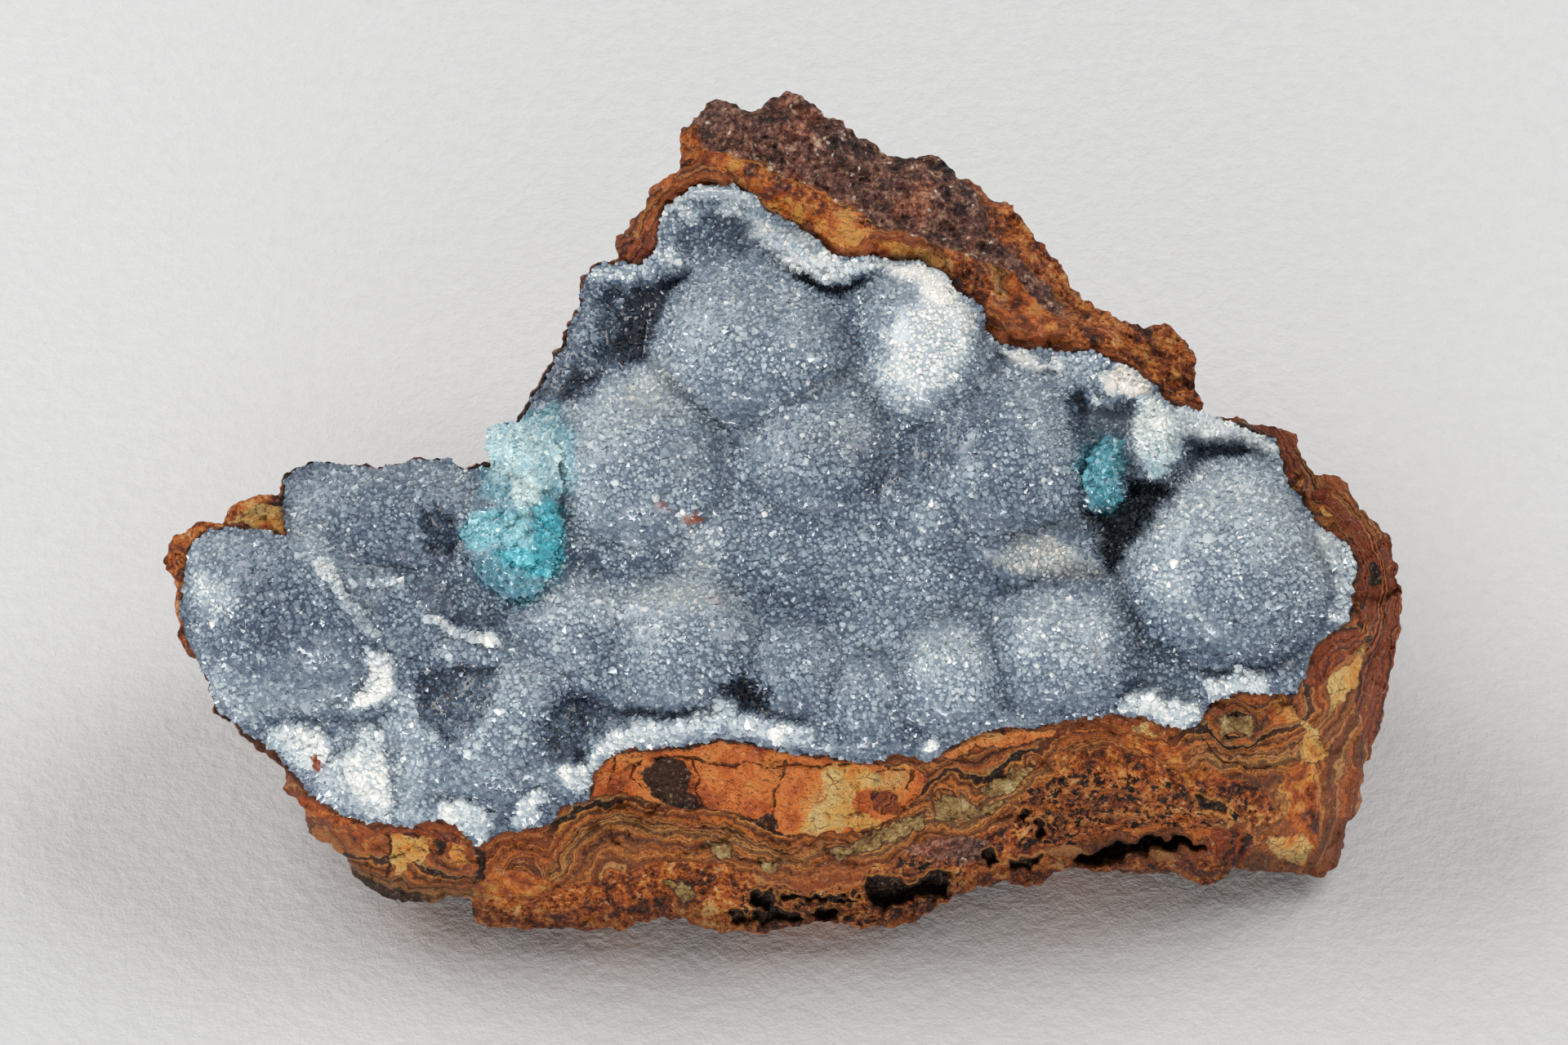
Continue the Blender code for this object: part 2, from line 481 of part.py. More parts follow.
def build_specimen():
    """Every piece as (name, points in metres, faces, material), stood on z = 0 about the origin."""
    limonite = make_material("limonite", (0.20, 0.085, 0.032), 0.72)
    quartz = make_material("druzy_quartz", (0.30, 0.36, 0.43), 0.32)
    chrysocolla = make_material("chrysocolla", (0.16, 0.47, 0.50), 0.4)
    edge, lining, bed_faces, crust_faces, top, under = build_lining()
    bed = with_heights(lining, under - BED_GAP)
    drawn = [
        ("limonite_matrix", build_matrix(edge, bed, bed_faces), limonite),
        ("quartz_crust", build_crust(len(edge), lining, crust_faces, top, under), quartz),
        ("chrysocolla_growth_left", build_growth(LEFT_GROWTH, LEFT_RISE), chrysocolla),
        ("chrysocolla_growth_right", build_growth(RIGHT_GROWTH, RIGHT_RISE), chrysocolla),
    ]
    placed = [(name, place(points), faces, material) for name, (points, faces), material in drawn]
    everything = np.vstack([points for _, points, _, _ in placed])
    low, high = everything.min(0), everything.max(0)
    origin = np.array(((low[0] + high[0]) / 2, (low[1] + high[1]) / 2, 0))
    return [(name, points - origin, faces, material) for name, points, faces, material in placed]


for old in list(bpy.data.objects):
    bpy.data.objects.remove(old, do_unlink=True)

for piece in build_specimen():
    add_object(*piece)
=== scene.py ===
"""The looks of a limonite specimen: banded brown rock around a hollow lined with grey-blue druzy quartz.

Shapes are drawn as the camera sees them, in drawing units of 0.8 mm: u right, v up, w towards the
camera. place() turns them into the frame's metres, so every piece lies where its solid does.
"""

import math

import bpy
import numpy as np
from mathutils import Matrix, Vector, noise
from mathutils.geometry import delaunay_2d_cdt
from mathutils.kdtree import KDTree


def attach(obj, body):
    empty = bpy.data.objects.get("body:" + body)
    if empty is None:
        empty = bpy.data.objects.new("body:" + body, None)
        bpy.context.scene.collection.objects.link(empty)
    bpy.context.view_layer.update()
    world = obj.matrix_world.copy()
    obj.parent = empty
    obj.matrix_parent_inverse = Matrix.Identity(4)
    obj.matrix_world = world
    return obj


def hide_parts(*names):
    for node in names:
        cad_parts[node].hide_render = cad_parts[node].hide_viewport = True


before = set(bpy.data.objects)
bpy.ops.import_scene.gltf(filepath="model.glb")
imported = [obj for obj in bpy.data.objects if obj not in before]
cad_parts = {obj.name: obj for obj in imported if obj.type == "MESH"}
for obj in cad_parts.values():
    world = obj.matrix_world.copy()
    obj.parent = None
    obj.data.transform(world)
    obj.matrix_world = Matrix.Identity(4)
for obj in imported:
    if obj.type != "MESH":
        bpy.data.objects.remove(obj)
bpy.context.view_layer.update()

# Metres, and the camera's angle above the table
SPECIMEN_WIDTH = 0.121
VIEW_DISTANCE = 0.853
VIEW_TILT = math.radians(50)
DRAWING_CENTRE = Vector((0.000083, -0.007720, 0.0328))
FLOOR_REACH = 1.5
LIGHT_TARGET = Vector((0, 0, 0.02))

# The camera's sensor in millimetres
SENSOR_WIDTH = 36

# Drawing units
SPECIMEN_UNITS = 151.5
PICTURE_UNITS = 192
UNIT = SPECIMEN_WIDTH / SPECIMEN_UNITS
DISTANCE = VIEW_DISTANCE / UNIT
DROP = DRAWING_CENTRE.z / UNIT
EDGE_ROLL = 2.6
EDGE_CLEARANCE = 3.0
SKIRT_DEPTH = 2.2
CRYSTAL_SPACING = 0.52

# Shares of the crystals that are large, brightened as painted glints and dull, and how many one mesh holds
LARGE_SHARE = 0.02
PAINTED_GLINT_SHARE = 0.03
DULL_SHARE = 0.04
CRYSTALS_A_PIECE = 26000

# An outline with more points than this is looked up among points set this far apart
LONG_OUTLINE = 60
LOOKUP_STEP = 0.2

# How many points are set against an outline at once
DISTANCE_BATCH = 4000
INSIDE_BATCH = 1500

# The outline of the whole piece, anticlockwise from the hollow beside the left lobe
OUTLINE = [
    (-34.9, 5.3), (-36, 7), (-38.7, 6.6), (-40.7, 7.6), (-44.9, 7.9), (-49.9, 6.8), (-53.9, 7.2),
    (-56.7, 7.7), (-58.4, 7.3), (-61.2, 5.5), (-62.1, 3.4), (-64.3, 3.7), (-66.8, 2.4), (-68.9, -0.3),
    (-72.1, -0.4), (-74.9, -1.8), (-76.1, -4.9), (-74.6, -7.7), (-74.3, -10), (-74.1, -13.6), (-72, -16.7),
    (-70.6, -20.1), (-69.4, -23.1), (-65.9, -26.1), (-64, -28.2), (-61.2, -30.2), (-61, -32.4),
    (-58.6, -35.4), (-58.3, -37.9), (-54, -41.1), (-52.5, -43.2), (-49.1, -45.6), (-46.3, -46.1),
    (-42.7, -46.6), (-41.6, -45.7), (-38.4, -45.8), (-37.9, -48), (-36.3, -49.3), (-31.6, -50),
    (-28.1, -49.5), (-24, -49.9), (-19.5, -49.7), (-14.9, -48.6), (-12, -48.4), (-10.6, -49.5),
    (-8.1, -50.3), (-3, -50), (1, -49.7), (6.5, -49), (11.4, -49.8), (16.3, -49), (18.2, -46.8),
    (22.1, -45.5), (26.4, -44.2), (31.3, -44.2), (33.5, -42.6), (37.5, -42.4), (41.6, -42.6), (43.4, -43.2),
    (48.1, -42.9), (50.7, -44.4), (52.8, -44.2), (55.1, -42.6), (59.2, -42.9), (65.7, -43.3), (67.7, -41.7),
    (68.3, -38.3), (70.5, -35.4), (71, -32.2), (71.8, -28.4), (72.9, -25.1), (74.2, -19.9), (74.9, -13.5),
    (75.4, -10.3), (75.2, -6.2), (74.6, -2.5), (72.4, 0), (70.1, 1.9), (69.1, 4.8), (66.3, 6), (64.8, 5.8),
    (63.3, 8.2), (62.7, 10.8), (59.5, 11.8), (54.2, 13), (51.6, 13.7), (50.4, 16.2), (50.1, 19.9),
    (49.8, 21.8), (47.3, 23.9), (42.7, 24.5), (39.1, 25.7), (36.2, 27.6), (34.2, 30.9), (32.1, 34.2),
    (29.8, 35.9), (28, 39), (25.4, 39.6), (22.7, 41.8), (20.1, 43.3), (18.5, 45), (15.7, 44.3),
    (12.3, 45.3), (8.9, 47.4), (7.1, 49.1), (4.5, 50), (2.1, 52.2), (0.1, 52.6), (-2.6, 51), (-4.2, 50.5),
    (-6.7, 51.5), (-8.4, 51.6), (-10.5, 49.6), (-12.5, 48.3), (-13, 44.7), (-12.8, 43.3), (-15.9, 41.1),
    (-17.2, 38.3), (-20.5, 34.9), (-20.2, 31.9), (-22.4, 32.3), (-24.6, 30.2), (-25.3, 26.8), (-27.3, 23.3),
    (-26.9, 22.1), (-29, 19.2), (-31, 15.5), (-32.6, 12.2), (-34.2, 8.6),
]

# The edge of the quartz crust, anticlockwise from beside the left lobe
CRUST_EDGE = [
    (-34.6, 5.6), (-36.2, 6.6), (-38.7, 6.4), (-40.7, 7.4), (-44.9, 7.7), (-49.9, 6.6), (-53.9, 7),
    (-56.7, 7.5), (-58.4, 7.1), (-60.9, 5.3), (-61.4, 2), (-60.7, -1.8), (-63.4, -0.9), (-66.8, -0.8),
    (-70.4, -1.1), (-72.4, -2.9), (-73.5, -6), (-73.7, -9.4), (-73.2, -13.6), (-71.8, -16.6), (-70.4, -20),
    (-69.2, -22.9), (-65.7, -25.9), (-62.3, -27.8), (-60.2, -30.4), (-58.6, -32.7), (-56.6, -34.2),
    (-53.1, -35.9), (-50.9, -36.8), (-46.6, -37.1), (-44.5, -37.1), (-42, -36.3), (-39.7, -37.4),
    (-37.4, -39.6), (-35.2, -38), (-31.6, -37.6), (-29, -37.1), (-27.2, -34.8), (-24, -33.9),
    (-23.1, -30.4), (-21.3, -28.3), (-18.1, -27.6), (-15.9, -27.8), (-12, -27.3), (-8.3, -26.2),
    (-3.9, -27), (-0.5, -27.8), (4.4, -28.5), (10.5, -29.3), (14.5, -28.4), (17.9, -29), (20.9, -27.2),
    (24.6, -25.5), (30.7, -24.9), (35.8, -24.3), (39.9, -23.5), (44.3, -23.7), (47.2, -25), (49.8, -25.4),
    (51, -24.1), (52.2, -22.1), (56, -20.7), (59.2, -21), (62.5, -20.9), (64.2, -17.2), (64.8, -15),
    (67.7, -13), (69.2, -12.2), (69.8, -7.7), (70.4, -5.3), (68.9, -2.4), (66, -1.2), (64.4, 1.1),
    (61.6, 5.2), (60.5, 8.2), (60, 10.4), (57.5, 11.1), (54.5, 12.3), (51.6, 13.4), (48.4, 14.3),
    (46.9, 14.8), (44.7, 17.3), (41.9, 19.2), (39.4, 19.9), (37.5, 21), (33.9, 20.9), (29.5, 21.3),
    (26.5, 21.5), (24.5, 23.9), (24.3, 26.5), (21.8, 28.3), (19.8, 30.2), (16.9, 31.8), (12.5, 32.5),
    (7.8, 32.6), (5.9, 33), (3.3, 35.3), (0.4, 36.8), (-2.3, 38), (-3.9, 40.3), (-6.7, 41.3), (-10.2, 41.2),
    (-13.1, 39.7), (-14.9, 37.4), (-15.8, 32.4), (-17.2, 31.7), (-20.3, 31.5), (-22.4, 31.9), (-24.2, 29.9),
    (-24.9, 26.7), (-26.8, 23.4), (-26.5, 21.9), (-28.6, 19), (-30.6, 15.4), (-32.2, 12.1), (-33.8, 8.6),
]

# Heights of the lined wall between its domes, as (u, v, w)
WALL_HEIGHTS = [
    (0, 36, -14.5), (-9, 40, -16), (-20, 30, -12.5), (18, 31, -12.5), (25, 22, -9), (40, 19, -8),
    (55, 12, -5.5), (62, 5, -4), (69, -8, -0.5), (66, -14, 2), (57, -20, 6), (49, -25, 8), (35, -24, 9),
    (20, -27, 9.5), (3, -27.5, 10), (-12, -27, 10), (-22, -28.5, 9.5), (-25, -33, 8), (-38, -38, 6.5),
    (-50, -36, 5.5), (-60, -29, 3), (-68, -23, 1.5), (-73, -12, 0), (-73, -5, -0.5), (-66, -1.5, 0.5),
    (-60, 5, -2.5), (-50, 6, -3), (-38, 6, -3), (-31, 13, -5.5), (-27, 23, -9.5), (0, 0, 0), (-20, -2, 0.5),
    (25, -5, 2), (45, -10, 3.5), (-40, -5, 1.5), (-55, -15, 4), (-45, -25, 7), (-10, -22, 8),
    (10, -12, 4.5), (-30, -18, 6),
]

# Heights of the broken limonite around the lined wall, as (u, v, w)
BREAK_HEIGHTS = [
    (-36, 6, -4), (-50, 7, -4), (-61, 5, -4), (-66, 1, -1), (-74, -2, -3), (-76, -5, -3.5),
    (-74, -10, -2.5), (-70, -21, -2), (-64, -28, -1), (-60.5, -31, -0.5), (-58, -37.5, -4),
    (-50, -44.5, -4.5), (-40, -46, -3.5), (-36, -49, -5), (-20, -49.8, -5.5), (-5, -50, -5.5),
    (10, -49.8, -6), (17, -48.5, -6.5), (25, -45, -7.5), (35, -42.5, -8.5), (50, -44, -9.5),
    (60, -43, -10.5), (67, -42, -14), (70.5, -35, -14.5), (73, -24, -11), (75, -12, -6), (75, -4, -4),
    (71, 1, -3), (64.5, 6, -5), (60, 12, -7), (51.5, 14, -8.5), (50, 20, -11), (45, 24.3, -13),
    (36, 27.8, -14), (30, 36, -15.5), (21, 43, -16), (12, 45.5, -15.5), (2, 52, -16.5), (-8, 51.5, -16.5),
    (-13, 45, -16), (-18, 37, -15.5), (-21, 31.5, -14), (-27.5, 22, -11), (-33, 12, -7), (-12, 41.5, -15.5),
    (0, 38, -14.2), (12, 33.5, -12.6), (20, 31, -12), (27, 22.5, -9.2), (41, 21, -9), (47, 15.5, -8),
    (55, 12.8, -6.2), (61.5, 9, -4.8), (63, 4, -3), (67, -1, -1.5), (71, -6, -1.5), (70.5, -12, -1),
    (65, -18, 1.5), (57, -21.8, 5), (50, -26, 6), (43, -24.5, 7), (30, -25.8, 7.3), (18, -29.8, 7.2),
    (3, -29, 8), (-8, -27.6, 8.2), (-20, -29, 7.6), (-24.5, -35, 5.6), (-37.5, -40.5, 4), (-46, -38, 3.6),
    (-53, -37, 2.6), (-59.5, -32.5, 0.5), (0, -34, 4.2), (-12, -34, 4.4), (12, -34, 4), (0, -40, 3),
    (-20, -41, 2.8), (20, -37, 2.5), (32, -33, 3.2), (45, -32, 2.6), (58, -30, 0.5), (66, -28, -3),
    (5, 44, -13.5), (18, 38, -12.8), (32, 29, -11.6), (-6, 47, -14.4), (42, -37, -3.5), (10, -45, -2),
    (-28, -45, -1), (58, -37, -4),
]

# Rounded domes as (u, v, half width, half height, rise)
DOMES = [
    (-4.5, 22, 11.8, 10, 6.5), (-18, 8, 10.5, 10.5, 6.2), (4, 9.5, 8.5, 8.5, 4), (18, 23, 8.3, 11, 6.4),
    (27, 9, 10.5, 10.5, 5.8), (18, 3, 6, 6, 2.4), (55, -5, 13, 13, 9.5), (34.5, -15.5, 9, 9, 5.4),
    (20.3, -19, 6.8, 6.8, 4), (10.5, -21.5, 5, 5, 2.4), (-12, -15, 8.5, 8.5, 4.2), (-27, -12, 6.2, 6, 2.6),
    (1, -18, 5.5, 5.5, 2.6), (-34, -26, 9, 11, 4.4), (-60, -10, 13, 12, 5.6), (-50, 1, 12, 7, 3.4),
    (-46, -11, 5, 5, 1.8), (-39, -18, 5, 5, 2), (-42, -27, 5, 5, 2), (-55, -30, 6, 5, 1.4),
    (32, -4.5, 7, 3.5, 2), (46, 17.2, 4.6, 2.6, 2.4), (46, 10, 2.6, 5.6, 3.6), (55.5, 12, 6, 2.2, 2.2),
    (5, 34, 7, 2.6, 2.4),
]

# Parts of the crust that more than one table draws
PALE_KNOB = [
    (38.6, 18.4), (40.4, 19.3), (42, 19.1), (44.4, 17.4), (45.4, 16), (43.6, 15.7), (41.8, 15.3),
    (40.2, 15.8), (39, 17),
]
MINT_LOBE = [
    (43.6, 15.6), (46, 15), (47.6, 13), (48, 10.6), (48.3, 8.4), (47, 6.6), (45.6, 5.2), (44.4, 5.8),
    (43.6, 8.6), (43.2, 11.6),
]
GREY_RIDGE = [
    (28, -2), (31, -1.2), (34, -2.4), (36.8, -4.4), (39.4, -6), (36, -7.6), (30, -6.8), (24.4, -4.8),
]
TEAL_FOOT = [
    (-38.4, -4), (-34, -4.6), (-29, -6.6), (-28.4, -8), (-31.6, -10.2), (-34.6, -9), (-37.4, -7.4),
]
TEAL_RIGHT = [
    (36.4, 9.8), (38.4, 10.8), (41.2, 10.2), (42, 7.6), (41, 5.6), (42, 3.2), (40.6, 0.8), (38.4, 1),
    (36.6, 4), (35.8, 7),
]

# Hollows and lumps of the crust as (rise, softness, shade, softness of the shade, outline); a hollow's
# darker shade is painted shade in it, and a lump's paler shade is its white crystals
RELIEF = [
    (-2.5, 1, 0, 1, [(-22, 29), (-19, 29), (-16, 30.2), (-12, 30.4), (-11.6, 29.2), (-14, 27),
     (-15.8, 23.6), (-16.6, 20), (-18, 18.9), (-21, 18.6), (-23, 18), (-22.4, 22), (-22.6, 26)]),
    (-1, 1, 0, 1, [(-13, 37.4), (-9.5, 38.2), (-5.6, 37.8), (-3.5, 36), (-4.2, 33.6), (-6, 32.4),
     (-12, 32.2), (-13.6, 34)]),
    (-2.2, 0.6, -0.2, 0.5, [(0.8, 30.8), (2.6, 30.2), (4.2, 29.2), (6.4, 29), (8.4, 29.6), (10.6, 30.3),
     (8.8, 28.6), (7.2, 27), (5, 27.6), (3, 28.4)]),
    (-5, 0.9, 0, 1, [(37.2, 1.4), (40, 1.6), (42, 3.2), (42.4, 5.4), (43.6, 5.6), (46.8, 4.4), (47.8, 3.8),
     (46, 0.4), (44.6, -1), (42.6, -2.6), (41.3, -5), (40.6, -6.6), (39.4, -6), (39, -2.5), (37.8, -0.6)]),
    (-2, 0.7, 0, 1, [(34.6, 15), (36.4, 16.4), (38, 14.6), (42.6, 14.6), (43.4, 11), (44.2, 6.6), (42.6, 3),
     (40, 1.4), (37, 2.6), (35.8, 9), (35.2, 11.5)]),
    (-1.2, 0.7, 0, 1, [(44.2, 5.8), (48.6, 7), (50.8, 9.4), (52.6, 9.6), (54.6, 9.2), (57, 8.8),
     (58.6, 8.2), (56, 8), (53.4, 8), (51.6, 7.2), (49.5, 5.5), (47.6, 3.8), (45, 3.6)]),
    (-2, 1.2, -0.17, 1.1, [(-27.4, -21), (-25, -20.6), (-20, -22.6), (-14, -23.4), (-9, -22), (-9.5, -23.4),
     (-14, -24), (-20, -24.6), (-23, -27), (-25, -29.5), (-29, -28.6), (-30, -25)]),
    (-1.4, 0.9, -0.22, 0.7, [(-8.5, -20), (-4.5, -18.6), (-2, -20.6), (-1.6, -23.6), (-4.4, -23.4),
     (-6.5, -21.8)]),
    (-1.6, 1.2, -0.16, 1, [(-45, -19.6), (-43.4, -17.4), (-39, -16.8), (-35, -17.6), (-35.2, -21),
     (-37.6, -25), (-41, -27), (-44.6, -24)]),
    (-1.4, 0.8, -0.2, 0.8, [(-44.6, 2), (-42.6, 1.6), (-40.4, 1), (-39.6, -1.6), (-40.6, -4), (-43.6, -3.6),
     (-44.6, -0.6)]),
    (1.2, 0.7, 0.4, 0.35, [(-51, -15.2), (-48.8, -16), (-47.6, -18.4), (-47.5, -19.8), (-48.4, -21.4),
     (-50, -22.2), (-53, -23), (-51.6, -20), (-51, -17.6)]),
    (1, 0.6, 0.28, 0.4, [(-63, -25.4), (-60.6, -24.3), (-58, -24.6), (-56, -26), (-55.4, -28.4),
     (-57, -30.6), (-60, -30), (-61.4, -28), (-63.4, -27.4)]),
    (1.2, 0.6, 0.2, 0.4, [(-55.6, -29.6), (-52.6, -28), (-51.6, -25.6), (-49, -24.6), (-48.8, -28.4),
     (-48.2, -31.6), (-47.9, -36.6), (-52.8, -35.8), (-56.6, -33.8), (-58, -31.4)]),
    (1.4, 0.5, 0, 1, [(-42.2, -34.4), (-39.2, -33.8), (-36.8, -34.8), (-35.2, -36.8), (-37.4, -39),
     (-40, -37.6), (-42, -36.4)]),
    (1.3, 0.4, 0.34, 0.3, [(-31.6, -33), (-29.8, -32.8), (-28.8, -34), (-30.4, -35), (-30.2, -37),
     (-33.2, -37.4), (-32.6, -35.4)]),
    (1, 0.5, 0.36, 0.4, [(-27.4, -30), (-24.4, -29.6), (-23.6, -31.6), (-25.2, -33), (-27.4, -31.8)]),
    (1, 0.6, 0.22, 0.4, [(-24, -29.6), (-22, -26), (-18, -24.6), (-15, -24.4), (-11.8, -24.2),
     (-10.4, -22.6), (-8.4, -21.8), (-6, -22), (-5, -23.4), (-2.4, -24.2), (1, -25.2), (-0.6, -27),
     (-8, -25.8), (-12, -27), (-16, -27.4), (-18.4, -27.4), (-21.6, -28.2), (-23, -30.4)]),
    (0.9, 0.4, 0.24, 0.3, [(-2.4, -25.6), (0.4, -25), (3.2, -25.4), (3.4, -27), (0, -27.6), (-1.4, -26.8)]),
    (0.9, 0.4, 0, 1, [(17.2, -26.6), (18.6, -26.2), (19.6, -27.4), (18.4, -28.2), (17.2, -27.8)]),
    (1.6, 0.5, 0.34, 0.3, [(40.8, -21.6), (42.6, -20.9), (45, -20.8), (46.6, -21.8), (48.6, -21.4),
     (50.6, -22.2), (51, -23.6), (50.8, -24.4), (49, -25.3), (46, -24.8), (43.8, -23.4), (41, -23.4)]),
    (1.3, 0.5, 0.36, 0.35, [(51.6, -19.8), (53, -19), (54.6, -18.6), (55.6, -18), (58, -18), (58.8, -19),
     (60, -19.6), (58, -21), (55, -20.8), (52.6, -21.8)]),
    (0.9, 0.5, 0.28, 0.4, [(65.6, -0.6), (68, -2), (69.4, -3.4), (70.3, -5.5), (69.6, -8.4), (69.2, -11.6),
     (67.6, -12.4), (66.6, -12.4), (67.6, -9), (67.2, -5.6), (66.2, -3.4), (64.9, -1.8)]),
    (1.6, 0.6, 0.34, 0.35, [(-0.6, 32), (2.4, 32.4), (5, 33.4), (8, 32.4), (11.4, 31.4), (10, 30.6),
     (8.6, 30.4), (7.2, 29.2), (5.4, 29), (4.2, 29.6), (3, 30.6), (1, 30.9)]),
    (1, 0.4, 0.42, 0.3, [(26.4, 21.2), (29.4, 21), (31.4, 19.6), (34, 19.2), (33.6, 18.6), (29.4, 19.2),
     (27.4, 19.6)]),
    (1.8, 0.7, 0.46, 0.3, PALE_KNOB), (3, 0.9, 0.25, 0.3, MINT_LOBE),
    (1.2, 0.5, 0.28, 0.35, [(48, 14), (52, 13.6), (54, 12.4), (57, 11.4), (59.6, 10.6), (61, 8),
     (58.6, 8.6), (56.2, 9.8), (53.4, 10), (51.6, 10.4), (49.4, 10.4), (48, 11)]),
    (0.7, 0.35, 0.28, 0.4, [(-57.4, -4.8), (-56, -4.2), (-55, -5.4), (-54.6, -7.4), (-53.2, -9.4),
     (-51, -11.8), (-49.6, -14.4), (-50.2, -14.6), (-52.4, -11.6), (-54.6, -9), (-56.2, -6.6)]),
    (0.8, 0.4, 0.24, 0.35, [(-51, -7), (-48.6, -6.4), (-47, -7.2), (-46.4, -8.6), (-48.6, -7.6),
     (-50.4, -7.6)]),
    (1, 0.35, 0.34, 0.3, [(-45, -10.2), (-43.4, -11.2), (-41.8, -11.8), (-40.4, -13), (-38, -13.2),
     (-36, -13.4), (-34.6, -14.6), (-36.4, -14.8), (-38.6, -14.2), (-40.6, -13.8), (-42.2, -12.6),
     (-44, -11.9)]),
]
